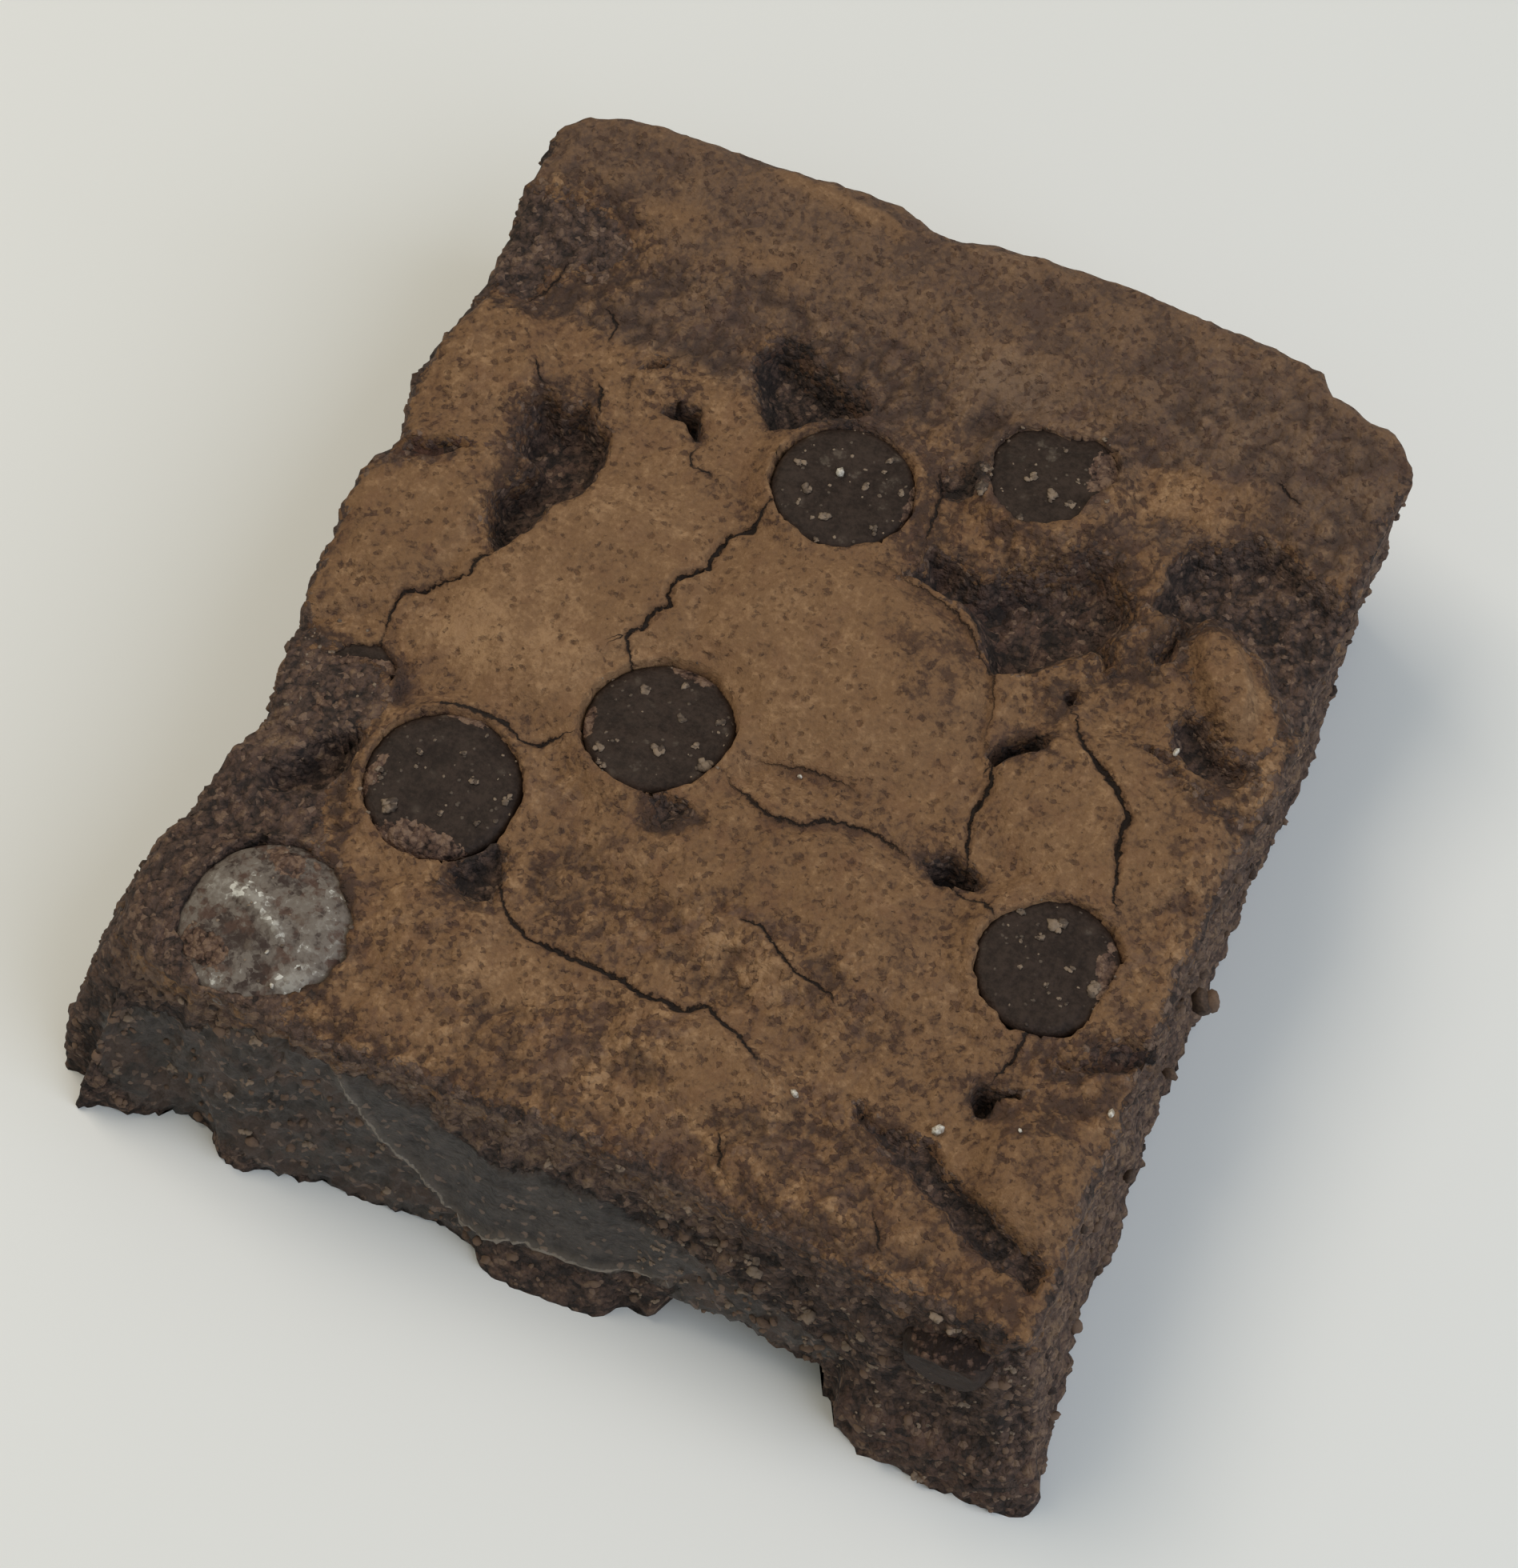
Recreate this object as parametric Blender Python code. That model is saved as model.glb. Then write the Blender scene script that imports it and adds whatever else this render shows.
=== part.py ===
"""A chocolate chip brownie from the edge of its pan, cut on three sides.

Metres, +Z up. The origin is the middle of the base of the bounding box. X runs
along the front cut face, and +Y points to the crust that baked against the pan.
All named sizes are in millimetres until a mesh is made from them.
"""

import math

import bmesh
import bpy
from mathutils import Matrix, Vector, noise

MM = 0.001

# The slab
CRUST_LEVEL = 18.6
GRID_STEP = 1.62
CORNER_RADIUS = 2.6
NOMINAL_X = (-34.0, 33.6)
NOMINAL_Y = (-36.0, 40.0)

# Edges of the top crust: (distance along the side, position across it)
LEFT_TOP = ((-37, -32.4), (-31, -33.7), (-26.5, -33.6), (-24, -31.9), (-20.5, -32.2), (-16.5, -31.1),
            (-9, -32.2), (-3, -33.4), (4, -34.0), (8.5, -33.0), (15, -34.2), (25, -33.3), (33, -34.0),
            (40, -33.5))
RIGHT_TOP = ((-37, 34.2), (-28, 33.9), (-18, 33.5), (-8, 33.4), (3, 33.3), (12, 33.9), (22, 33.2),
             (30, 33.3), (40, 33.7))
FRONT_TOP = ((-34, -34.2), (-27, -35.4), (-20, -36.0), (-10, -35.3), (0, -34.8), (8, -35.0),
             (15, -35.6), (24, -35.9), (34, -36.2))
BACK_TOP = ((-34, 37.9), (-28, 39.5), (-18, 40.0), (-9, 40.3), (-5, 39.3), (0, 40.1), (10, 40.5),
            (20, 40.1), (24.4, 39.6), (26.0, 37.8), (30, 36.8), (34, 35.4))

# Edges of the base, where the cut sides spread as the knife drags the crumb down
LEFT_BASE = ((-40, -36.9), (-34, -37.1), (-29, -36.9), (-24, -35.6), (-15, -33.6), (-6, -33.9),
             (5, -34.8), (20, -34.8), (33, -34.6), (40, -34.0))
RIGHT_BASE = ((-40, 37.6), (-35, 37.0), (-29, 35.8), (-23, 34.7), (-17, 35.0), (-8, 34.0),
              (2, 33.7), (12, 33.4), (24, 33.8), (32, 32.8), (40, 32.4))
FRONT_BASE = ((-37, -38.4), (-32, -40.5), (-26.5, -37.9), (-20.5, -39.9), (-15, -38.6), (-7, -38.0),
              (-2, -39.3), (3, -39.1), (7, -38.1), (14, -38.0), (20, -38.2), (24, -39.2),
              (31, -39.4), (37, -38.6))
BACK_BASE = ((-35, 37.2), (-15, 38.8), (8, 39.0), (24, 38.0), (34, 34.8))

# Share of the way from the top edge down to the base, for each ring of the walls
WALL_RINGS = (0.07, 0.22, 0.42, 0.62, 0.78, 0.9, 1.0)

# The rounded edge of the top: how far in it starts, and how far it falls
SIDE_ROLL = (1.9, 1.0)
LEFT_FRONT_ROLL = (4.2, 2.4)
LEFT_FRONT_END = -22.0

# The raised crust along the pan side
RIM_START = 25.0
RIM_CREST = 36.0
RIM_RISE = 1.7

# Baked plates that stand proud: centre, half sizes, turn in degrees, rise, softness of the edge
PLATES = (
    ((2.6, 4.4), (13.8, 10.6), 0, 1.6, 0.55),
    ((-14.5, 1.6), (10.8, 11.6), 20, 1.1, 0.4),
    ((5.0, -13.4), (16.0, 8.4), -8, 1.2, 0.55),
    ((24.2, 0.6), (9.6, 7.4), 0, 0.9, 0.35),
    ((-29.0, 4.4), (5.8, 8.6), 0, 0.8, 0.4),
    ((-29.5, 17.0), (5.0, 6.0), 0, 0.7, 0.5),
    ((29.8, -25.4), (5.0, 6.0), 20, 1.3, 0.6),
    ((7.4, -27.2), (8.4, 4.8), -10, 0.9, 0.6),
    ((15.0, -32.0), (7.4, 3.4), -8, 0.8, 0.6),
    ((-13.0, -26.0), (6.6, 5.0), -20, 0.7, 0.6),
    ((27.4, 13.8), (2.2, 5.4), 35, 1.5, 0.5),
)

# Burst and sunken places, as the plates, with a depth in place of the rise
HOLLOWS = (
    ((-22.2, 12.6), (3.9, 5.6), 15, 3.4, 0.45),
    ((-23.2, 5.4), (2.8, 3.2), -20, 3.4, 0.6),
    ((-29.4, 8.6), (3.6, 1.6), 40, 1.3, 0.8),
    ((-15.2, 18.2), (2.6, 2.0), -20, 2.8, 0.7),
    ((-8.6, 23.8), (5.8, 3.6), -12, 2.8, 0.5),
    ((12.6, 14.8), (9.0, 4.6), -12, 3.3, 0.4),
    ((29.4, 20.4), (8.2, 6.4), 0, 2.4, 0.45),
    ((30.6, 8.6), (5.0, 3.0), -25, 1.8, 0.6),
    ((17.0, 4.4), (3.0, 1.9), 50, 2.6, 0.7),
    ((15.8, -7.0), (2.3, 1.8), 0, 2.4, 0.7),
    ((24.8, -21.4), (2.4, 1.9), 10, 2.4, 0.7),
    ((-26.2, -18.0), (4.4, 4.0), 0, 2.5, 0.6),
    ((24.2, -28.2), (9.4, 1.7), -20, 1.5, 0.8),
    ((30.4, -14.8), (3.8, 1.6), 32, 1.5, 0.8),
    ((6.4, -5.0), (9.4, 1.5), -6, 1.0, 0.9),
    ((-0.6, -23.2), (9.6, 1.3), -4, 0.9, 0.9),
)

# Crumb roughness of the faceted surface: size of the lumps and how far they stand
CRUMB_SIZE = 3.4
CRUMB_TOP = 0.22
CRUMB_WALL = 0.5

# The front face below its smeared middle: an undercut, a belly and a foot
UNDERCUT = {"from": 8.0, "to": 20.4, "top": 4.2, "depth": 2.0}
BELLY = {"from": -5.0, "to": 6.0, "top": 3.0, "depth": 0.5}
FOOT = {"from": 21.2, "to": 38.0, "top": 6.0, "depth": 1.7}

# Chips lie with their flat bases up: centre, radius, level of the base, tilt in degrees about X and Y
CHIPS = (
    ((-2.3, 17.0), 5.1, 19.3, (-3, 2)),
    ((9.9, 23.6), 4.8, 19.2, (-5, -3)),
    ((-6.0, -5.2), 5.4, 19.2, (-5, -3)),
    ((-17.7, -15.4), 5.5, 19.0, (3, 3)),
    ((24.8, -11.0), 4.9, 18.9, (2, 4)),
    ((-23.8, -29.4), 5.9, 18.7, (4, -3)),
    ((-27.9, -10.9), 4.2, 18.3, (-4, -7)),
)
CHIP_HEIGHT = 0.98
CHIP_SIDES = 18
CHIP_GAP = 0.3

# One chip lies on its side where the knife went through it: centre, radius, how far its cut stands
# inside the face
CUT_CHIP_CENTRE = (28.9, -36.2, 12.6)
CUT_CHIP_RADIUS = 3.3
CUT_CHIP_FACE = -38.0

# A chip's outline: share of its radius out from the axis, share of its height below the base
CHIP_PROFILE = ((0.6, -0.01), (0.93, 0.02), (1.0, 0.10), (0.97, 0.24), (0.74, 0.55), (0.36, 0.86))

CRUMB_COLOUR = (0.135, 0.072, 0.038, 1.0)
CHOCOLATE_COLOUR = (0.040, 0.026, 0.020, 1.0)


def smooth(t):
    """0 below 0, 1 above 1, and an even slope between."""
    t = min(1.0, max(0.0, t))
    return t * t * (3 - 2 * t)


def curve(knots, t):
    """A smooth line through (t, value) knots, held level past the ends."""
    if t <= knots[0][0]:
        return knots[0][1]
    for i in range(len(knots) - 1):
        (t0, a), (t1, b) = knots[i], knots[i + 1]
        if t < t1:
            return a + (b - a) * smooth((t - t0) / (t1 - t0))
    return knots[-1][1]


def mix(a, b, share):
    return a + (b - a) * share


def ellipse(x, y, centre, half, turn, soft):
    """1 inside an ellipse, falling to 0 at its edge over the share of its radius that soft gives."""
    angle = math.radians(turn)
    dx, dy = x - centre[0], y - centre[1]
    across = (dx * math.cos(angle) + dy * math.sin(angle)) / half[0]
    along = (dy * math.cos(angle) - dx * math.sin(angle)) / half[1]
    return smooth((1 - math.hypot(across, along)) / soft)


def lumps(x, y, z, size):
    """Smooth noise from about -1 to 1, with lumps of the given size."""
    return noise.fractal(Vector((x, y, z)) / size, 0.8, 2.0, 2)


def edge_fall(distance, roll):
    """How far the top has fallen at this distance in from an edge with the given roll."""
    width, fall = roll
    share = min(1.0, max(0.0, 1 - distance / width))
    return fall * (1 - math.sqrt(1 - share * share * 0.96))


def top_height(x, y):
    """Level of the crust at a point of the plan."""
    z = CRUST_LEVEL + RIM_RISE * smooth((y - RIM_START) / (RIM_CREST - RIM_START))
    plates = [rise * ellipse(x, y, centre, half, turn, soft) for centre, half, turn, rise, soft in PLATES]
    z += max(plates)
    z -= max(depth * ellipse(x, y, centre, half, turn, soft) for centre, half, turn, depth, soft in HOLLOWS)
    z += CRUMB_TOP * lumps(x, y, 0, CRUMB_SIZE)
    left_share = smooth((LEFT_FRONT_END - y) / 4)
    z -= mix(edge_fall(x - curve(LEFT_TOP, y), SIDE_ROLL),
             edge_fall(x - curve(LEFT_TOP, y), LEFT_FRONT_ROLL), left_share)
    z -= edge_fall(curve(RIGHT_TOP, y) - x, SIDE_ROLL)
    z -= edge_fall(y - curve(FRONT_TOP, x), SIDE_ROLL)
    z -= edge_fall(curve(BACK_TOP, x) - y, SIDE_ROLL)
    return z


def plan_point(u, v, left, right, front, back):
    """The point at shares u and v across the plan that four edges bound."""
    x = mix(curve(left, mix(*NOMINAL_Y, v)), curve(right, mix(*NOMINAL_Y, v)), u)
    y = mix(curve(front, mix(*NOMINAL_X, u)), curve(back, mix(*NOMINAL_X, u)), v)
    return x, y


def round_corner(x, y, left, right, front, back):
    """Moves a point of a corner's square block into the quarter circle that rounds it."""
    middle_x, middle_y = (left + right) / 2, (front + back) / 2
    sign_x, sign_y = math.copysign(1, x - middle_x), math.copysign(1, y - middle_y)
    corner_x = right if sign_x > 0 else left
    corner_y = back if sign_y > 0 else front
    a = 1 - abs(corner_x - x) / CORNER_RADIUS
    b = 1 - abs(corner_y - y) / CORNER_RADIUS
    if a <= 0 or b <= 0:
        return x, y
    inner_x, inner_y = corner_x - sign_x * CORNER_RADIUS, corner_y - sign_y * CORNER_RADIUS
    return (inner_x + sign_x * CORNER_RADIUS * a * math.sqrt(1 - b * b / 2),
            inner_y + sign_y * CORNER_RADIUS * b * math.sqrt(1 - a * a / 2))


def rounded_plan_point(u, v, edges):
    """A plan point with the four corners rounded."""
    left, right, front, back = edges
    x, y = plan_point(u, v, *edges)
    nominal_x, nominal_y = mix(*NOMINAL_X, u), mix(*NOMINAL_Y, v)
    return round_corner(x, y, curve(left, nominal_y), curve(right, nominal_y),
                        curve(front, nominal_x), curve(back, nominal_x))


def band(t, feature):
    """1 between a feature's two ends along X, with short soft ends."""
    return smooth((t - feature["from"]) / 1.2) * smooth((feature["to"] - t) / 1.2)


def front_relief(x, z):
    """How far the front face stands out past the straight line from its top edge to its base."""
    under = UNDERCUT["depth"] * band(x, UNDERCUT) * (1 - smooth(z / UNDERCUT["top"]))
    belly = BELLY["depth"] * band(x, BELLY) * (1 - smooth(z / BELLY["top"]))
    foot = FOOT["depth"] * band(x, FOOT) * (1 - smooth((z - FOOT["top"] + 2) / 2))
    return belly + foot - under


def ring_normal(ring, i):
    """The level outward direction at point i of a ring that runs counterclockwise."""
    before, after = ring[i - 1], ring[(i + 1) % len(ring)]
    return Vector((after[1] - before[1], before[0] - after[0], 0)).normalized()


def wall_point(top, base, normal, share):
    """A point on the wall between a top edge point and its base point."""
    point = Vector(top).lerp(Vector(base), share)
    out = CRUMB_WALL * lumps(*point, CRUMB_SIZE) * math.sin(math.pi * min(1.0, share + 0.12))
    out += 0.7 * math.sin(math.pi * share)
    if normal.y < -0.6:
        out += front_relief(point.x, point.z)
    point += normal * out
    point.z = top[2] * (1 - share)
    return point


def border(columns, rows):
    """The grid's outer points in counterclockwise order, as (column, row)."""
    line = [(c, 0) for c in range(columns)]
    line += [(columns, r) for r in range(rows)]
    line += [(c, rows) for c in range(columns, 0, -1)]
    line += [(0, r) for r in range(rows, 0, -1)]
    return line


def slab_mesh():
    """The whole brownie without its chip sockets: a crust grid, walls in rings and a flat base."""
    top_edges = (LEFT_TOP, RIGHT_TOP, FRONT_TOP, BACK_TOP)
    base_edges = (LEFT_BASE, RIGHT_BASE, FRONT_BASE, BACK_BASE)
    columns = round((NOMINAL_X[1] - NOMINAL_X[0]) / GRID_STEP)
    rows = round((NOMINAL_Y[1] - NOMINAL_Y[0]) / GRID_STEP)
    mesh = bmesh.new()
    grid = {}
    for r in range(rows + 1):
        for c in range(columns + 1):
            x, y = rounded_plan_point(c / columns, r / rows, top_edges)
            grid[c, r] = mesh.verts.new((x, y, top_height(x, y)))
    for r in range(rows):
        for c in range(columns):
            mesh.faces.new((grid[c, r], grid[c + 1, r], grid[c + 1, r + 1], grid[c, r + 1]))
    line = border(columns, rows)
    upper = [grid[place] for place in line]
    tops = [tuple(v.co) for v in upper]
    bases = [(*rounded_plan_point(c / columns, r / rows, base_edges), 0.0) for c, r in line]
    for share in WALL_RINGS:
        lower = []
        for i, (top, base) in enumerate(zip(tops, bases)):
            lower.append(mesh.verts.new(wall_point(top, base, ring_normal(bases, i), share)))
        for i in range(len(line)):
            j = (i + 1) % len(line)
            mesh.faces.new((upper[j], upper[i], lower[i], lower[j]))
        upper = lower
    mesh.faces.new(list(reversed(upper)))
    bmesh.ops.triangulate(mesh, faces=mesh.faces)
    return mesh


def turned(profile, top_level, bottom_level, sides):
    """A closed solid turned about Z through (radius, z) points that run from the top down."""
    mesh = bmesh.new()
    crown = mesh.verts.new((0, 0, top_level))
    tip = mesh.verts.new((0, 0, bottom_level))
    rings = []
    for radius, z in profile:
        angles = [2 * math.pi * k / sides for k in range(sides)]
        rings.append([mesh.verts.new((radius * math.cos(a), radius * math.sin(a), z)) for a in angles])
    for k in range(sides):
        n = (k + 1) % sides
        mesh.faces.new((crown, rings[0][k], rings[0][n]))
        for upper, lower in zip(rings, rings[1:]):
            mesh.faces.new((upper[k], lower[k], lower[n], upper[n]))
        mesh.faces.new((rings[-1][k], tip, rings[-1][n]))
    return mesh


def chip_mesh(radius):
    """A baking chip, base up at z = 0, with its point below."""
    height = CHIP_HEIGHT * radius
    profile = [(share * radius, -depth * height) for share, depth in CHIP_PROFILE]
    return turned(profile, 0.02 * height, -height, CHIP_SIDES)


def socket_mesh(radius):
    """The room a chip takes, with the gap all round it, open above."""
    height = CHIP_HEIGHT * radius
    side = [(share * radius + CHIP_GAP, -depth * height) for share, depth in CHIP_PROFILE[2:]]
    above = 2 * radius
    return turned([(radius + CHIP_GAP, above)] + side, above, -height - 1.4 * CHIP_GAP, CHIP_SIDES)


def chip_place(centre, level, tilt):
    """Where a chip's base goes."""
    turn = Matrix.Rotation(math.radians(tilt[0]), 4, "X") @ Matrix.Rotation(math.radians(tilt[1]), 4, "Y")
    return Matrix.Translation((centre[0], centre[1], level)) @ turn


def cut_chip_mesh(radius, face):
    """A chip on its side, cut off flat on the plane y = face."""
    mesh = turned([(radius * math.sin(a), radius * math.cos(a)) for a in (0.5, 1.0, 1.5, 2.0, 2.5)],
                  radius, -radius, CHIP_SIDES)
    mesh.transform(Matrix.Translation(CUT_CHIP_CENTRE))
    below = bmesh.ops.bisect_plane(mesh, geom=mesh.verts[:] + mesh.edges[:] + mesh.faces[:],
                                   plane_co=(0, face, 0), plane_no=(0, -1, 0), clear_outer=True)
    rim = [g for g in below["geom_cut"] if isinstance(g, bmesh.types.BMEdge)]
    bmesh.ops.contextual_create(mesh, geom=rim)
    bmesh.ops.recalc_face_normals(mesh, faces=mesh.faces)
    return mesh


def material(name, colour, roughness):
    made = bpy.data.materials.new(name)
    made.use_nodes = True
    shader = made.node_tree.nodes["Principled BSDF"]
    shader.inputs["Base Color"].default_value = colour
    shader.inputs["Roughness"].default_value = roughness
    return made


def add_object(name, mesh, surface):
    """A named object from a bmesh that is in millimetres."""
    mesh.transform(Matrix.Diagonal((MM, MM, MM, 1)))
    data = bpy.data.meshes.new(name)
    mesh.to_mesh(data)
    mesh.free()
    data.materials.append(surface)
    made = bpy.data.objects.new(name, data)
    bpy.context.scene.collection.objects.link(made)
    return made


def cut_with(body, cutter):
    """Takes a hidden cutter out of a body."""
    cutter.hide_render = True
    cutter.display_type = "WIRE"
    boolean = body.modifiers.new(cutter.name, "BOOLEAN")
    boolean.operation = "DIFFERENCE"
    boolean.solver = "EXACT"
    boolean.object = cutter


def base_box(objects):
    """The lowest and highest corner of the objects' meshes as built."""
    points = [v.co for made in objects for v in made.data.vertices]
    low = Vector(min(p[i] for p in points) for i in range(3))
    high = Vector(max(p[i] for p in points) for i in range(3))
    return low, high


def main():
    for old in list(bpy.data.objects):
        bpy.data.objects.remove(old)
    crumb = material("crumb", CRUMB_COLOUR, 0.85)
    chocolate = material("chocolate", CHOCOLATE_COLOUR, 0.45)
    body = add_object("brownie", slab_mesh(), crumb)
    sockets = bmesh.new()
    chips = []
    for number, (centre, radius, level, tilt) in enumerate(CHIPS, 1):
        place = chip_place(centre, level, tilt)
        chip = chip_mesh(radius)
        chip.transform(place)
        chips.append(add_object(f"chip_{number}", chip, chocolate))
        socket = socket_mesh(radius)
        socket.transform(place)
        piece = bpy.data.meshes.new("socket")
        socket.to_mesh(piece)
        sockets.from_mesh(piece)
        socket.free()
        bpy.data.meshes.remove(piece)
    chips.append(add_object("chip_cut", cut_chip_mesh(CUT_CHIP_RADIUS, CUT_CHIP_FACE), chocolate))
    room = cut_chip_mesh(CUT_CHIP_RADIUS + CHIP_GAP, CUT_CHIP_FACE - CUT_CHIP_RADIUS)
    cutters = [add_object("chip_sockets", sockets, crumb), add_object("cut_chip_socket", room, crumb)]
    for cutter in cutters:
        cut_with(body, cutter)
    low, high = base_box([body, *chips])
    middle = Vector(((low.x + high.x) / 2, (low.y + high.y) / 2, 0))
    for made in [body, *chips, *cutters]:
        made.data.transform(Matrix.Translation(-middle))


main()
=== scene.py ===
"""The looks of the chocolate chip brownie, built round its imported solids.

Lengths are in millimetres until a mesh is made from them. The plan keeps the origin of the solids' source,
which is a fraction of a millimetre from the frame's own. Outlines on the top are given where they lie on one
level, PLAN_LEVEL, along the camera's line of sight; lay() brings a point of the real surface to that level.
"""

import math

import bpy
import numpy as np
from mathutils import Matrix, Vector, kdtree


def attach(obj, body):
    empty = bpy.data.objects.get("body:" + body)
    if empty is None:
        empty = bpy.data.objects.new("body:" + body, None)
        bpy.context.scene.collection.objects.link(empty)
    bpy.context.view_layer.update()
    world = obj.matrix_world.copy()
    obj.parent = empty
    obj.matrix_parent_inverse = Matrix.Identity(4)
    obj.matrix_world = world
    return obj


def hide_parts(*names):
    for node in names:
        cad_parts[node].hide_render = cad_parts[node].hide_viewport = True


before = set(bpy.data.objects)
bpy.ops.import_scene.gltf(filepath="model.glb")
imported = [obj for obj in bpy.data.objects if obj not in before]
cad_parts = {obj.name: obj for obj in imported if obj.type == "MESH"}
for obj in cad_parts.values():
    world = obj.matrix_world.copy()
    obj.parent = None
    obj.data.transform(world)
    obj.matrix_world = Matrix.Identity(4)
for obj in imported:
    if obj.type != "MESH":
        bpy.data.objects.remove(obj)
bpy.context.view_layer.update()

MM = 0.001
PLAN_ORIGIN = (-0.2556, 0.1574, 0.0)
PLAN_LEVEL = 18.5

# The camera: where it looks, from which side, how steeply, and how far off
CAMERA_AZIMUTH = 24.5
CAMERA_ELEVATION = 62.0
CAMERA_DISTANCE = 288.9
CAMERA_TARGET = (0.0, -2.35, 10.0)
CAMERA_LENS = 95.5

# ---------------------------------------------------------------- The slab, as in its source

CRUST_LEVEL = 18.6
GRID_STEP = 0.32
CORNER_RADIUS = 2.6
NOMINAL_X = (-34.0, 33.6)
NOMINAL_Y = (-36.0, 40.0)
WALL_RINGS = 46

LEFT_TOP = ((-37, -32.4), (-31, -33.7), (-26.5, -33.6), (-24, -31.9), (-20.5, -32.2), (-16.5, -31.1),
            (-9, -32.2), (-3, -33.4), (4, -34.0), (8.5, -33.0), (15, -34.2), (25, -33.3), (33, -34.0),
            (40, -33.5))
RIGHT_TOP = ((-37, 34.2), (-28, 33.9), (-18, 33.5), (-8, 33.4), (3, 33.3), (12, 33.9), (22, 33.2),
             (30, 33.3), (40, 33.7))
FRONT_TOP = ((-34, -34.2), (-27, -35.4), (-20, -36.0), (-10, -35.3), (0, -34.8), (8, -35.0),
             (15, -35.6), (24, -35.9), (34, -36.2))
BACK_TOP = ((-34, 37.9), (-28, 39.5), (-18, 40.0), (-9, 40.3), (-5, 39.3), (0, 40.1), (10, 40.5),
            (20, 40.1), (24.4, 39.6), (26.0, 37.8), (30, 36.8), (34, 35.4))
LEFT_BASE = ((-40, -36.9), (-34, -37.1), (-29, -36.9), (-24, -35.6), (-15, -33.6), (-6, -33.9),
             (5, -34.8), (20, -34.8), (33, -34.6), (40, -34.0))
RIGHT_BASE = ((-40, 37.6), (-35, 37.0), (-29, 35.8), (-23, 34.7), (-17, 35.0), (-8, 34.0),
              (2, 33.7), (12, 33.4), (24, 33.8), (32, 32.8), (40, 32.4))
FRONT_BASE = ((-37, -38.4), (-32, -40.5), (-26.5, -37.9), (-20.5, -39.9), (-15, -38.6), (-7, -38.0),
              (-2, -39.3), (3, -39.1), (7, -38.1), (14, -38.0), (20, -38.2), (24, -39.2),
              (31, -39.4), (37, -38.6))
BACK_BASE = ((-35, 37.2), (-15, 38.8), (8, 39.0), (24, 38.0), (34, 34.8))
TOP_EDGES = (LEFT_TOP, RIGHT_TOP, FRONT_TOP, BACK_TOP)
BASE_EDGES = (LEFT_BASE, RIGHT_BASE, FRONT_BASE, BACK_BASE)

SIDE_ROLL = (1.9, 1.0)
LEFT_FRONT_ROLL = (4.2, 2.4)
LEFT_FRONT_END = -22.0
RIM_START = 25.0
RIM_CREST = 36.0
RIM_RISE = 1.7

# Baked plates: centre, half sizes, turn in degrees, rise, softness of the edge
PLATES = (
    ((2.6, 4.4), (13.8, 10.6), 0, 1.6, 0.55),
    ((-14.5, 1.6), (10.8, 11.6), 20, 1.1, 0.4),
    ((5.0, -13.4), (16.0, 8.4), -8, 1.2, 0.55),
    ((24.2, 0.6), (9.6, 7.4), 0, 0.9, 0.35),
    ((-29.0, 4.4), (5.8, 8.6), 0, 0.8, 0.4),
    ((-29.5, 17.0), (5.0, 6.0), 0, 0.7, 0.5),
    ((29.8, -25.4), (5.0, 6.0), 20, 1.3, 0.6),
    ((7.4, -27.2), (8.4, 4.8), -10, 0.9, 0.6),
    ((15.0, -32.0), (7.4, 3.4), -8, 0.8, 0.6),
    ((-13.0, -26.0), (6.6, 5.0), -20, 0.7, 0.6),
    ((27.4, 13.8), (2.2, 5.4), 35, 1.5, 0.5),
)

UNDERCUT = {"from": 8.0, "to": 21.0, "top": 4.4, "depth": 2.5}
BELLY = {"from": -5.0, "to": 6.0, "top": 3.0, "depth": 0.5}
FOOT = {"from": 21.6, "to": 38.0, "top": 6.0, "depth": 1.7}

# Chips with their flat bases up: centre, radius, level of the base, tilt in degrees about X and Y,
# how far the crust beside it stands above its base, and the width of the gap round it
CHIPS = (
    ((-2.3, 17.0), 5.1, 19.3, (-3, 2), 0.10, 0.10),
    ((10.5, 23.9), 4.8, 19.2, (-5, -3), 0.10, 0.06),
    ((-6.0, -5.45), 5.2, 19.2, (-5, -3), 0.40, 0.20),
    ((-17.4, -15.5), 5.4, 19.0, (3, 3), 0.12, 0.12),
    ((24.8, -11.0), 4.9, 18.9, (2, 4), 0.25, 0.06),
    ((-23.4, -29.5), 6.1, 18.6, (4, -3), 0.0, 0.10),
    ((-27.9, -10.9), 4.2, 18.3, (-4, -7), -0.25, 0.12),
)
CHIP_HEIGHT = 0.98
CHIP_UNDERSIDE = ((0.0, 1.0), (0.36, 0.86), (0.74, 0.55), (0.97, 0.24), (1.02, 0.12), (1.1, 0.0))
CUT_CHIP_CENTRE = (28.9, -36.0, 14.0)
CUT_CHIP_RADIUS = 3.2
CUT_CHIP_FACE = -38.0

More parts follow.
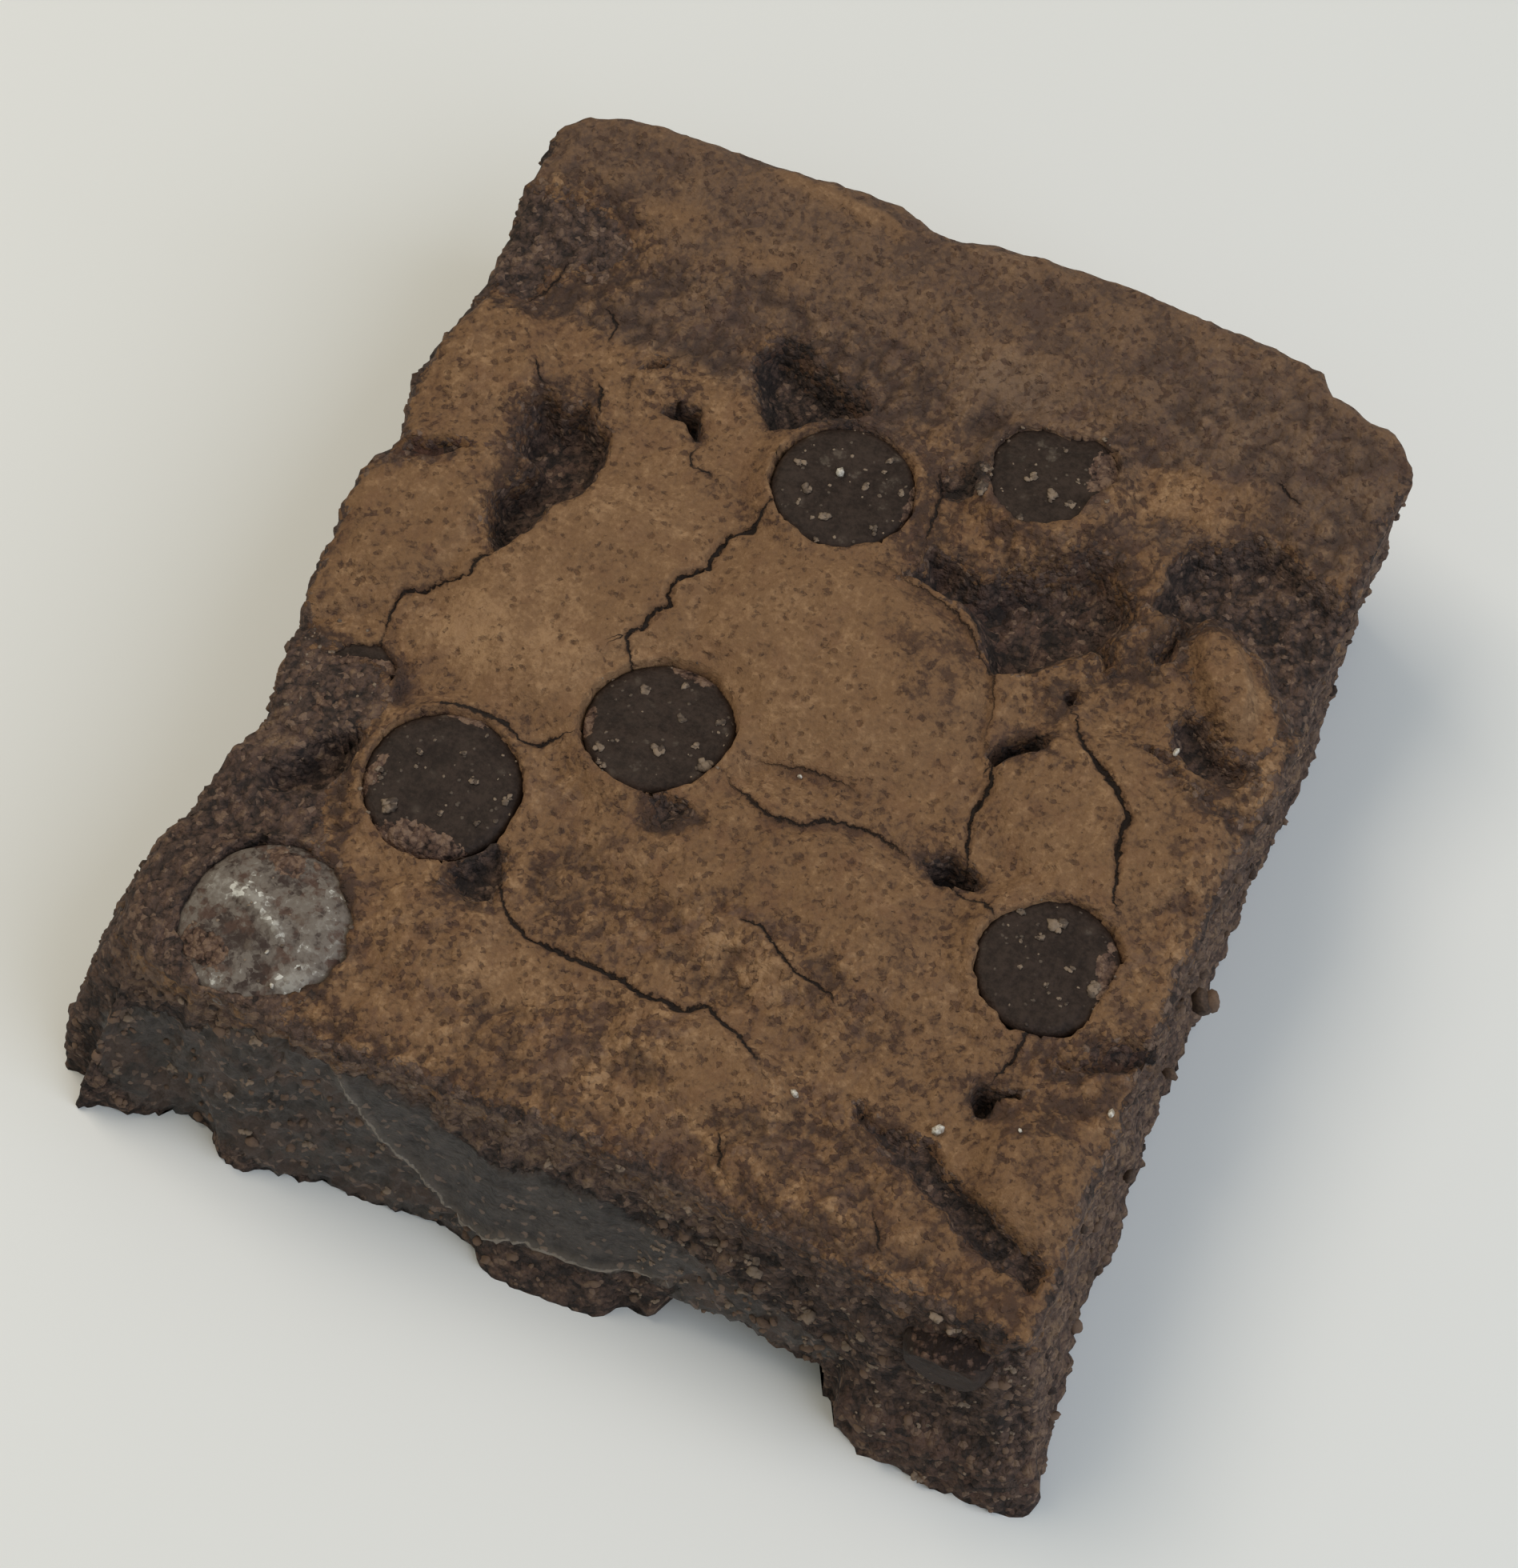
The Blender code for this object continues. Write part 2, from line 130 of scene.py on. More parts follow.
# What shows of a chip that the crust partly covers
SHOWING = {
    2: ((6.8, 21.4), (6.3, 23.0), (6.0, 24.7), (6.4, 26.3), (7.6, 27.0), (9.0, 27.5), (10.3, 27.3),
        (12.1, 28.2), (13.8, 27.6), (14.7, 26.4), (14.9, 24.8), (13.8, 23.3), (13.5, 21.9), (13.0, 20.6),
        (11.6, 19.7), (9.8, 19.4), (8.0, 20.1)),
    5: ((20, -9.7), (22.9, -6.6), (25, -5.9), (27.9, -6.8), (29.1, -8.2), (28.9, -10.5), (28.6, -13.2),
        (27.9, -15), (26.3, -15.7), (23.9, -16.2), (21.6, -14.8), (20.2, -12.8), (19.7, -11.0)),
    6: ((-26.6, -24.0), (-23.2, -23.5), (-20.4, -24.7), (-18.3, -27.1), (-17.5, -29.5), (-18.0, -31.5),
        (-19.6, -33.4), (-22.3, -34.8), (-24.9, -34.9), (-27.3, -33.6), (-28.7, -32.2), (-29.0, -30.2),
        (-28.9, -27.7), (-28.3, -25.6)),
    7: ((-28.9, -9.3), (-27.9, -7.8), (-26.2, -7.4), (-24.8, -8.1), (-24.1, -9.6), (-25.2, -9.0),
        (-26.6, -8.8), (-27.8, -9.6)),
}

# ---------------------------------------------------------------- What the crust shows

# Burst places down to the dark crumb: depth, width of the slope, darkness, redness, the direction in degrees of
# the side where the crust ends sharply, how wide it fades out on the other side, outline
PITS = (
    (3.2, 1.6, -0.35, 0.3, -20, 1.1, ((-25.5, 16), (-24.5, 16.5), (-23.2, 15.5), (-21.6, 16.7), (-20.4, 15.5), (-19, 14.7),
                           (-18.2, 12.6), (-18.4, 10.4), (-19.3, 8.6), (-20.4, 7.2), (-20.6, 5.4), (-21.8, 3.3),
                           (-22.5, 2.4), (-23.6, 3.7), (-24.4, 5), (-25.0, 6.8), (-24.3, 8.6), (-23.8, 10.0),
                           (-25.3, 11), (-25.9, 12.6), (-25.7, 14.7))),
    (1.1, 0.9, -0.3, 1.0, 90, 1.2, ((-32.8, 6.6), (-31.2, 7.0), (-29.7, 7.8), (-28.3, 9.2), (-26.4, 10.2), (-29, 10.2),
                           (-30.5, 9.2), (-32.6, 8.6))),
    (3.4, 0.8, 1.4, -0.4, 200, 0.5, ((-17.2, 17.6), (-16.8, 18.5), (-15.5, 19.3), (-14.3, 19.2), (-13.6, 17.6),
                           (-13.1, 16.2), (-14.1, 16.7), (-15, 17.5), (-16.3, 17.4))),
    (1.4, 0.6, 0.7, 0.2, 180, 0.6, ((-19.8, 20.2), (-19.1, 21.7), (-18.2, 22.2), (-18.0, 21.5), (-18.7, 20.6))),
    (2.9, 1.8, 0.6, -0.1, 235, 1.9, ((-12.7, 25.3), (-11.6, 27.2), (-10.0, 27.3), (-7.9, 26.6), (-5, 25.4), (-3.2, 24.5),
                            (-3.3, 23.1), (-5, 21.8), (-6.6, 20.8), (-7.9, 19.6), (-9.2, 19.4), (-10.1, 20.3),
                            (-11.1, 21.8), (-12.5, 23.7))),
    (3.1, 2.0, -0.35, 0.4, 235, 2.0, ((3.4, 12.5), (4.6, 13.6), (4.9, 15.5), (7.4, 15.7), (9.2, 14.9), (10.5, 16.8),
                          (12.4, 17.7), (13.9, 18.6), (15.8, 20.2), (17.9, 19.4), (19.7, 17.6), (20.2, 15.8),
                          (19.9, 13.9), (20.7, 12.2), (19.5, 10.3), (18.4, 11.9), (16.8, 10.6), (15, 8.9),
                          (13.1, 7.7), (11.5, 8.6), (10.4, 10.4), (8.9, 11.8), (6.6, 12.0))),
    (2.4, 1.6, -0.6, 0.1, 120, 1.3, ((20, 17.1), (20.6, 19.2), (20.3, 20.7), (21, 23.2), (22.6, 23.9), (24.2, 24.6),
                           (25.3, 25.7), (27.5, 25.9), (29.5, 24.6), (34.5, 24.0), (35, 13.5), (33.3, 11.6),
                           (31.4, 13.2), (28.6, 16.6), (26.4, 17.6), (25.0, 18.0), (24.0, 16.0), (23.9, 13.6),
                           (22.4, 12.6), (21.8, 14.6), (22.6, 17.0))),
    (1.9, 1.2, -0.8, 0.2, 200, 1.0, ((25.8, 10.9), (27.6, 10.6), (29.2, 9.2), (31.0, 9.2), (32.2, 8.2),
                                    (31.8, 6.4), (29.8, 6.2), (27.6, 6.5), (25.8, 7.5), (25.2, 9.5))),
    (0.9, 0.5, 0.2, 0.3, 90, 0.8, ((23.4, 7.4), (24.7, 7.4), (26.3, 6.9), (28.2, 6.0), (30.6, 5.0), (33.4, 3.9),
                          (31, 4.1), (28.6, 5.0), (26.3, 6.0), (24.7, 6.7), (23.5, 6.8))),
    (2.8, 0.8, 1.0, -0.2, 240, 0.6, ((14.6, 2.1), (15.4, 3.3), (16.3, 4.3), (17.3, 5.1), (18.5, 5.1), (18.2, 3.7),
                           (16.8, 2.7), (15.8, 1.3))),
    (1.3, 0.6, 0.6, 0.3, 0, 0.8, ((18.2, 7.2), (17.7, 8.9), (18.9, 9.2), (19.2, 8.0))),
    (2.9, 0.7, 1.0, -0.3, 0, 0.6, ((14.1, -7.2), (15, -6.4), (15.8, -5.7), (17.2, -5.9), (18.7, -6.9), (18.2, -8.0), (16.4, -8.3),
                           (15.2, -8.3))),
    (2.7, 0.7, 1.0, -0.3, 0, 0.6, ((23.4, -21.7), (23.8, -20.2), (25.3, -20.2), (27.2, -19.4), (26.9, -20.4),
                           (25.6, -21.1), (25.5, -22.4), (24.4, -22.9))),
    (1.6, 0.8, 0.5, 0.5, 20, 1.6, ((27.0, -16.9), (29.3, -15.6), (30.6, -14.0), (32.6, -12.9), (34.4, -13.4),
                          (33.2, -15.2), (30.6, -16.6), (28.4, -17.5))),
    (1.2, 0.8, 0.3, 0.2, 60, 0.5, ((16.4, -24.6), (19.0, -25.4), (21.6, -25.4), (22.8, -25.3), (24.9, -27.0),
                          (26.8, -27.6), (29.1, -28.6), (31.4, -29.3), (33.4, -30.6), (33.2, -32.6),
                          (30.6, -32.0), (28.1, -31.2), (25.2, -29.9), (22.2, -28.6), (19.6, -27.0),
                          (17.2, -25.9))),
    (2.2, 1.4, -0.7, -0.1, 30, 1.6, ((-26.9, -13.4), (-25.0, -13.2), (-23.6, -14.2), (-23.5, -17.0), (-25.0, -19.6),
                           (-28.6, -20.6), (-29.4, -18.8), (-27.4, -16.8))),
    (1.2, 0.8, 0.1, -0.2, 90, 0.7, ((-14.6, -20.4), (-13.6, -18.6), (-12.4, -17.2), (-11.0, -18.2), (-10.6, -20.2),
                           (-10.4, -22.0), (-12.6, -22.3), (-14.6, -21.9))),
    (0.5, 0.5, 0.5, -0.4, 0, 0.6, ((2.4, 21.2), (4.2, 22.4), (6.1, 23.0), (6.9, 21.2), (5.6, 19.8), (3.8, 19.4))),
    (1.1, 0.7, 0.5, 0.0, 90, 1.0, ((-1.0, -10.4), (-1.6, -9.6), (-2.6, -9.9), (-3.9, -9.6), (-4.3, -10.6), (-3.2, -11.9),
                          (-1.9, -11.2))),
)

# Places with no crust, but no lower than it: darkness, redness, outline
CRUMBLED = (
    (-1.3, 0.3, ((-36, -8.4), (-32, -8.8), (-28.6, -8.6), (-25.3, -8.6), (-23.8, -9.8), (-23.4, -12),
                 (-23.8, -15), (-23.8, -19), (-22.6, -21.6), (-21.6, -23.8), (-19.8, -25.4), (-18.8, -27.6),
                 (-18.4, -31), (-19.0, -34), (-18, -38), (-40, -42))),
    (-1.0, 0.1, ((-36, 31.5), (-27.4, 32.4), (-24.0, 29.8), (-25.0, 26.5), (-28.4, 25.0), (-28.6, 22.0),
                (-36, 21.4))),
)

# Crust that stands over a pit beside it
SHARD = ((24.1, 16.3), (25, 17.4), (26.6, 17.4), (28.2, 16.8), (29.5, 15), (31, 13.4), (32.4, 11.6), (31.6, 9.5),
         (29.7, 9.7), (28.2, 10.5), (26.6, 11.3), (25.5, 12.9), (24.5, 14.7))

# Cracks: half width of the groove and of its line of painted shade, depth, route
CRACKS = (
    (0.09, 1.2, ((-22.4, 2.6), (-23.2, 1.3), (-23.3, 0), (-25, -1.6), (-25.4, -2.4), (-26.7, -2.6), (-26.6, -4.7),
                 (-26.4, -6.3), (-26.2, -7.4))),
    (0.12, 1.4, ((-6.3, 13.6), (-6.7, 12.9), (-6.7, 11.4), (-8.3, 10.4), (-8, 9.7), (-8.55, 8.4), (-8.3, 7.4),
                 (-9.7, 6.05), (-10, 4.7), (-9.5, 3.7), (-10.3, 2.6), (-10.3, 1.3), (-11.3, 0.3), (-10.8, 0),
                 (-9.9, -1.6))),
    (0.15, 1.2, ((-20, -10.1), (-17.6, -9.6), (-15.5, -9.6), (-13.9, -10.3), (-12.9, -10), (-11.7, -8.9))),
    (0.13, 1.4, ((15.3, 2), (16.05, 0), (15.8, -2.6), (16.3, -4.5), (16.8, -5.8))),
    (0.15, 1.5, ((19.5, 6.6), (20.3, 5.5), (21.8, 4.5), (23.4, 3.4), (24.5, 2.4), (25.3, 1.6), (25.4, 0),
                 (25.7, -1.6), (26.3, -3.2), (26.8, -4.6))),
    (0.11, 1.1, ((-11.0, -20.0), (-10.3, -21), (-9, -22.4), (-7.1, -23.2), (-4.5, -23.2), (-0.5, -23.3),
                 (1.3, -23.8), (2.9, -23.6), (4.3, -23.7), (5.7, -22.5), (6.4, -23.3), (8.4, -23.8),
                 (10.5, -25.3))),
    (0.07, 0.8, ((4.5, -16), (6.3, -15.9), (7.4, -16.7), (8.4, -17.4), (10, -18.2), (11.3, -18.2), (12.6, -18.7),
                 (13.2, -19.5))),
    (0.11, 1.0, ((25.4, -15.8), (25.3, -17.9), (24.7, -19.5))),
    (0.06, 0.6, ((16.8, -8.2), (17.6, -8.6), (19.2, -8.7), (20.2, -9.6))),
    (0.07, 0.6, ((3.0, 21.8), (4.0, 19.6), (4.3, 17.4), (4.6, 15.6))),
    (0.05, 0.5, ((-24.2, 24.2), (-22.8, 23.2), (-22.6, 21.6))),
    (0.05, 0.5, ((-28.4, 26.8), (-28.2, 24.7), (-29.5, 22.1))),
    (0.05, 0.5, ((-21.8, 18.2), (-20.5, 15.8))),
    (0.05, 0.5, ((-26.7, 17.9), (-25.3, 16.4))),
    (0.04, 0.4, ((-13.3, 16.2), (-12.9, 14.5), (-11, 14.3))),
    (0.05, 0.5, ((10, -30.5), (11.3, -33.2))),
    (0.05, 0.5, ((21, -31), (22.9, -34))),
    (0.05, 0.5, ((24.7, 30.3), (27.1, 29.2))),
)

# Creases where plates meet or fold: how wide and deep the valley is, half width of its line of painted shade, route
CREASES = (
    (1.6, 0.6, 0.03, ((0, 12.9), (3.4, 12.4), (6.6, 11.8), (8.7, 11.3), (10.5, 10), (11.8, 8.7), (12.9, 7.8),
                      (13.7, 5.8), (14.3, 3.2), (14.7, 1.3), (15.1, 0.5))),
    (1.3, 0.35, 0.03, ((0.2, -5.4), (1.6, -4.9), (4, -4.2), (6.6, -4), (9, -4.6))),
    (1.3, 0.45, 0.05, ((-0.9, -6.7), (0.6, -7.4), (2.1, -7.9), (3.7, -8.3), (5.3, -8.2), (7.4, -7), (10, -6.6),
                      (12.1, -7), (14.1, -7.5))),
)

# Rough, dark, warm and light patches, laid over each other in turn: centre, half sizes, turn, softness of the
# edge, then roughness from 0 to 1, lightness and warmth from -1 to 1
# The lightness is partly the crust's own colour and partly painted shade and light on the sloping plates.
PATCHES = (
    ((0, 36.5), (60, 7.5), 0, 0.25, 0.50, -0.60, -0.55),
    ((0, 26.0), (60, 5.6), 0, 0.35, 0.90, -0.25, -0.60),
    ((24, 33.0), (14, 6.0), -12, 0.5, 0.80, -0.30, -0.75),
    ((-12.5, 39.3), (7.5, 1.5), -6, 0.5, 0.10, 0.20, -0.30),
    ((-29, 28), (8, 7), 0, 0.5, 1.00, -0.30, -0.20),
    ((19.5, 26.2), (5.6, 3.4), 0, 0.8, 0.45, 0.70, 0.10),
    ((5.2, 29.8), (6.2, 2.8), 0, 0.9, 0.50, 1.35, -0.80),
    ((-22.5, 33.2), (4.2, 2.0), 0, 0.9, 0.15, 0.05, -0.20),
    ((-14.5, 32.6), (5.5, 2.2), 0, 0.9, 0.20, 0.25, -0.30),
    ((-29.5, 17.4), (5.6, 5.6), 0, 0.5, 0.40, 0.35, 0.20),
    ((-14, 16.2), (9.5, 5.2), 0, 0.5, 0.35, 0.25, 0.10),
    ((-17.5, 20.0), (4.5, 2.8), 0, 0.7, 0.80, -0.60, -0.20),
    ((1.5, 23.5), (3.0, 2.6), 0, 0.7, 0.90, -0.80, -0.30),
    ((9, 19.0), (5, 2.6), -10, 0.6, 0.85, -0.60, 0.20),
    ((4.4, 16.8), (3.0, 4.4), 0, 0.7, 0.90, -1.10, 0.10),
    ((20.5, 9.0), (5, 4), 0, 0.6, 0.60, 0.15, 0.20),
    ((16, 8.0), (4, 4), 0, 0.6, 0.80, -0.15, 0.10),
    ((-29.5, 3.0), (6, 7), 0, 0.4, 0.25, 0.40, 0.25),
    ((-14.5, 2.2), (12.5, 12.8), 15, 0.35, 0.10, 0.50, 0.00),
    ((-17.5, -4.0), (9.5, 6.5), 0, 0.9, 0.08, 1.30, 0.00),
    ((2.6, 4.0), (14.2, 10.4), 0, 0.35, 0.10, 0.30, 0.05),
    ((8.4, 7.2), (4.4, 3.4), 0, 0.6, 0.30, -0.70, -0.10),
    ((10.5, 4.4), (3.6, 2.4), 0, 0.8, 0.20, -0.50, -0.20),
    ((12.0, -3.4), (3.4, 2.2), 0, 0.8, 0.15, 0.70, 0.10),
    ((2.0, -1.5), (5.5, 3.0), 0, 0.9, 0.10, 0.55, 0.10),
    ((24.5, 0.4), (9.4, 7.2), 0, 0.35, 0.22, 0.10, 0.10),
    ((20.2, 3.6), (3.6, 3.4), 0, 0.8, 0.50, -0.70, 0.00),
    ((27.4, 2.4), (2.0, 2.6), 0, 0.8, 0.30, -0.40, 0.00),
    ((31.6, -2.0), (3.0, 7.0), 0, 0.7, 0.60, 0.45, 0.00),
    ((5.0, -11.4), (14.5, 5.2), -5, 0.5, 0.30, 0.05, 0.30),
    ((16.0, -11.5), (3.2, 4.8), 0, 0.7, 0.35, -0.55, 0.20),
    ((-10.5, -11.5), (2.8, 2.8), 0, 0.7, 0.60, -0.60, 0.20),
    ((5.0, -18.4), (17, 5.0), -6, 0.5, 0.75, 0.30, 0.25),
    ((-3.0, -15.8), (5.8, 2.4), 0, 0.7, 0.40, 0.70, 0.25),
    ((20.0, -16.5), (5.5, 7), 0, 0.6, 0.45, 0.20, -0.10),
    ((-6.0, -19.0), (6.5, 4.5), 0, 0.6, 0.75, 0.10, 0.20),
    ((6.0, -29.5), (22, 6.6), -3, 0.4, 0.80, 0.40, 0.15),
    ((-14, -27.5), (7, 6), -10, 0.6, 0.60, 0.20, 0.15),
    ((7.4, -27.0), (3.8, 4.4), -10, 0.6, 0.20, 0.35, 0.15),
    ((-7.0, -26.2), (4.0, 2.8), 0, 0.6, 0.20, 0.95, 0.15),
    ((-17.8, -23.0), (4.5, 2.8), -15, 0.6, 0.50, 0.80, 0.15),
    ((30.2, -25.2), (5.0, 5.0), 15, 0.4, 0.35, -0.05, -0.10),
    ((31.8, -17.8), (4.5, 4.2), 0, 0.5, 0.85, 0.10, 0.10),
    ((28.0, -21.2), (4.2, 2.6), 0, 0.6, 0.80, -1.10, 0.10),
    ((31.2, -9.8), (3.2, 3.6), 0, 0.5, 0.60, -0.10, 0.30),
    ((18, -34.0), (20, 2.6), -2, 0.7, 0.90, 0.30, 0.00),
    ((-2, -35.6), (34, 2.8), -1, 0.6, 0.90, 0.90, 0.00),
    ((34.0, 0), (3.0, 38), 0, 0.6, 0.60, 1.20, -0.15),
    ((16.3, 3.4), (2.8, 2.2), 0, 0.8, 0.60, -1.10, 0.00),
    ((30.2, -7.0), (2.2, 2.2), 0, 0.8, 0.60, -0.80, 0.00),
    ((9.0, -18.6), (2.6, 2.4), 0, 0.8, 0.30, 1.10, 0.10),
    ((4.0, -31.0), (8, 2.4), 0, 0.8, 0.60, 1.00, 0.10),
    ((16.6, 23.6), (3.0, 2.0), 0, 0.8, 0.70, 0.50, -0.10),
    ((24.0, 28.2), (3.4, 2.6), 0, 0.8, 0.40, 0.35, -0.30),
    ((-12.0, 26.0), (3.4, 2.0), 0, 0.8, 0.80, 0.30, -0.20),
)


# Lighter and darker spots on top of all of these: centre, half sizes, how much lighter
TOUCHES = (
    ((-9.0, 20.5), (3.5, 3.0), -0.9), ((3.0, 14.5), (2.5, 2.5), -1.2), ((12.0, 11.5), (3.0, 2.6), -0.7),
    ((16.0, 14.5), (3.6, 3.0), -0.5), ((22.0, 17.0), (3.2, 3.0), -0.7), ((30.0, 20.5), (4.0, 3.2), -0.7),
    ((24.0, 14.0), (2.5, 2.5), -0.6), ((18.0, 5.0), (2.0, 2.0), -0.7), ((15.0, 2.5), (2.0, 2.0), -0.6),
    ((-30.0, -16.0), (3.0, 3.0), 1.7), ((-30.0, -7.0), (3.2, 2.4), 1.7), ((-25.0, -36.8), (8.0, 2.4), 1.5),
    ((25.0, 33.0), (10.0, 5.0), 1.4), ((18.0, 32.0), (3.0, 2.6), 0.9), ((4.0, 30.5), (7.0, 3.6), 1.3),
    ((-21.0, 29.0), (3.6, 2.4), 0.9), ((0.0, 26.0), (3.0, 2.2), 0.8), ((24.0, 26.0), (3.0, 2.4), 0.7),
    ((-9.5, 0.0), (2.6, 2.2), 0.7), ((-2.6, 0.0), (2.6, 2.0), 0.9), ((-15.0, -1.0), (3.0, 2.4), 0.8),
    ((-22.0, -3.8), (5.0, 4.5), 1.7), ((-16.5, 1.0), (4.0, 3.4), 0.5), ((-21.0, -9.6), (2.6, 2.0), 0.8), ((-12.0, -7.0), (2.6, 2.4), -0.8),
    ((-31.2, 2.0), (3.0, 3.4), -0.9), ((-6.0, -16.0), (3.4, 2.4), 1.1), ((6.0, -19.0), (3.4, 2.4), 1.3),
    ((0.0, -31.0), (3.4, 2.4), 1.0), ((31.0, -34.5), (4.0, 3.0), -2.2), ((33.5, -23.5), (2.4, 3.6), -1.2),
    ((27.0, -22.0), (2.4, 2.2), -0.8), ((-12.0, -28.0), (3.4, 2.8), -1.0), ((29.3, -24.5), (2.8, 3.0), -0.8),
    ((30.0, -4.0), (2.4, 1.8), 1.0), ((30.0, -7.2), (2.4, 1.8), -1.0), ((15.0, -4.0), (2.6, 3.4), -0.9),
    ((15.0, -13.0), (2.6, 2.6), -0.8), ((-6.0, 14.0), (3.0, 2.6), 0.9), ((6.0, 8.0), (3.2, 2.4), -0.8),
    ((28.5, 1.0), (3.0, 2.8), -0.8), ((18.8, -1.4), (2.6, 2.8), 0.5),
)

# ---------------------------------------------------------------- Numbers and noise

def smooth(t):
    """0 below 0, 1 above 1, and an even slope between."""
    t = np.clip(t, 0.0, 1.0)
    return t * t * (3 - 2 * t)


def mix(a, b, share):
    return a + (b - a) * share


def curve(knots, t):
    """A smooth line through (t, value) knots, held level past the ends."""
    places = np.array([k[0] for k in knots], float)
    values = np.array([k[1] for k in knots], float)
    i = np.clip(np.searchsorted(places, t) - 1, 0, len(knots) - 2)
    return mix(values[i], values[i + 1], smooth((t - places[i]) / (places[i + 1] - places[i])))


def scrambled(cell, seed):
    """A well mixed whole number below 2**32 for each place of a whole-number grid."""
    c = (cell + 100000).astype(np.uint64)
    n = c[:, 0] * np.uint64(73856093) ^ c[:, 1] * np.uint64(19349663) ^ c[:, 2] * np.uint64(83492791)
    n = (n ^ np.uint64(seed * 2654435761 & 0xFFFFFFFF)) & np.uint64(0xFFFFFFFF)
    for shift, factor in ((15, 2246822519), (13, 3266489917)):
        n = ((n ^ (n >> np.uint64(shift))) * np.uint64(factor)) & np.uint64(0xFFFFFFFF)
    return (n ^ (n >> np.uint64(16))).astype(np.int64)


CORNERS = np.array([(i, j, k) for i in (0, 1) for j in (0, 1) for k in (0, 1)])
SLOPES = np.array([(1, 1, 0), (-1, 1, 0), (1, -1, 0), (-1, -1, 0), (1, 0, 1), (-1, 0, 1), (1, 0, -1),
                   (-1, 0, -1), (0, 1, 1), (0, -1, 1), (0, 1, -1), (0, -1, -1)], float)


def waves(points, seed):
    """Smooth noise from about -1 to 1 with its lumps one unit apart."""
    cell = np.floor(points).astype(np.int64)
    part = points - cell
    ease = part ** 3 * (part * (part * 6 - 15) + 10)
    total = np.zeros(len(points))
    for corner in CORNERS:
        slope = SLOPES[scrambled(cell + corner, seed) % len(SLOPES)]
        weight = np.prod(np.where(corner, ease, 1 - ease), axis=1)
        total += weight * ((part - corner) * slope).sum(axis=1)
    return total


def lumps(points, size, layers=2, seed=0, gain=0.5):
    """Noise of several sizes, each half the one before."""
    total = np.zeros(len(points))
    for k in range(layers):
        total += gain ** k * waves(points * (2 ** k / size) + 31.7 * k, seed + k)
    return total


def grains(points, size, seed=0):
    """Distances to the nearest and to the second nearest of scattered grain centres, in grain sizes, and a
    number from 0 to 1 that the nearest grain has of its own."""
    scaled = points / size
    base = np.floor(scaled).astype(np.int64)
    first = np.full(len(points), 9.0)
    second = np.full(len(points), 9.0)
    chance = np.zeros(len(points))
    for step in np.ndindex(3, 3, 3):
        cell = base + np.array(step) - 1
        n = scrambled(cell, seed)
        centre = cell + np.stack([n & 1023, n >> 10 & 1023, n >> 20 & 1023], axis=1) / 1023
        distance = np.linalg.norm(scaled - centre, axis=1)
        second = np.minimum(second, np.maximum(first, distance))
        chance = np.where(distance < first, (n * 7919 >> 9 & 1023) / 1023, chance)
        first = np.minimum(first, distance)
    return first, second, chance


def boulders(points, size, seed):
    """Height in millimetres of rounded grains of this size, some standing out more than others, and how far
    down between them a point is, from 0 to 1."""
    drift = np.stack([lumps(points + 9.1 * k, 1.1 * size, 1, seed + 3) for k in range(3)], axis=1)
    first, second, chance = grains(points + 0.35 * size * drift, size, seed)
    swell = np.sqrt(smooth((second - first) / 0.7))
    return size * (0.24 * (swell - 0.7) + 0.34 * (chance - 0.5) * swell), 1 - swell


def ellipse(x, y, centre, half, turn, soft):
    """1 inside an ellipse, falling to 0 at its edge over the share of its radius that soft gives."""
    angle = math.radians(turn)
    dx, dy = x - centre[0], y - centre[1]
    across = (dx * math.cos(angle) + dy * math.sin(angle)) / half[0]
    along = (dy * math.cos(angle) - dx * math.sin(angle)) / half[1]
    return smooth((1 - np.hypot(across, along)) / soft)


def line_distance(x, y, route):
    """Signed distance to an open route, positive on its left, and the share of its length gone by."""
    nearest = np.full(len(x), 1e9)
    side = np.zeros(len(x))
    gone = np.zeros(len(x))
    lengths = [math.dist(a, b) for a, b in zip(route, route[1:])]
    for i, (a, b) in enumerate(zip(route, route[1:])):
        ux, uy = (b[0] - a[0]) / lengths[i], (b[1] - a[1]) / lengths[i]
        along = np.clip((x - a[0]) * ux + (y - a[1]) * uy, 0, lengths[i])
        dx, dy = x - a[0] - along * ux, y - a[1] - along * uy
        distance = np.hypot(dx, dy)
        closer = distance < nearest
        nearest = np.where(closer, distance, nearest)
        side = np.where(closer, np.where(ux * dy - uy * dx >= 0, 1.0, -1.0), side)
        gone = np.where(closer, sum(lengths[:i]) + along, gone)
    return nearest * side, gone / sum(lengths)


def depth_inside(x, y, outline):
    """Distance to a closed outline, positive inside it."""
    nearest = np.full(len(x), 1e9)
    inside = np.zeros(len(x), bool)
    for a, b in zip(outline, outline[1:] + outline[:1]):
        dx, dy = b[0] - a[0], b[1] - a[1]
        t = np.clip(((x - a[0]) * dx + (y - a[1]) * dy) / (dx * dx + dy * dy), 0, 1)
        nearest = np.minimum(nearest, np.hypot(x - a[0] - t * dx, y - a[1] - t * dy))
        crosses = (a[1] > y) != (b[1] > y)
        inside ^= crosses & (x < a[0] + (y - a[1]) / (dy if dy else 1e-9) * dx)
    return np.where(inside, nearest, -nearest)


def lay(x, y, z):
    """Where a point of the surface lies on PLAN_LEVEL along the camera's line of sight."""
    azimuth = math.radians(CAMERA_AZIMUTH)
    slant = (z - PLAN_LEVEL) / math.tan(math.radians(CAMERA_ELEVATION))
    return x - slant * math.sin(azimuth), y + slant * math.cos(azimuth)


# ---------------------------------------------------------------- The body

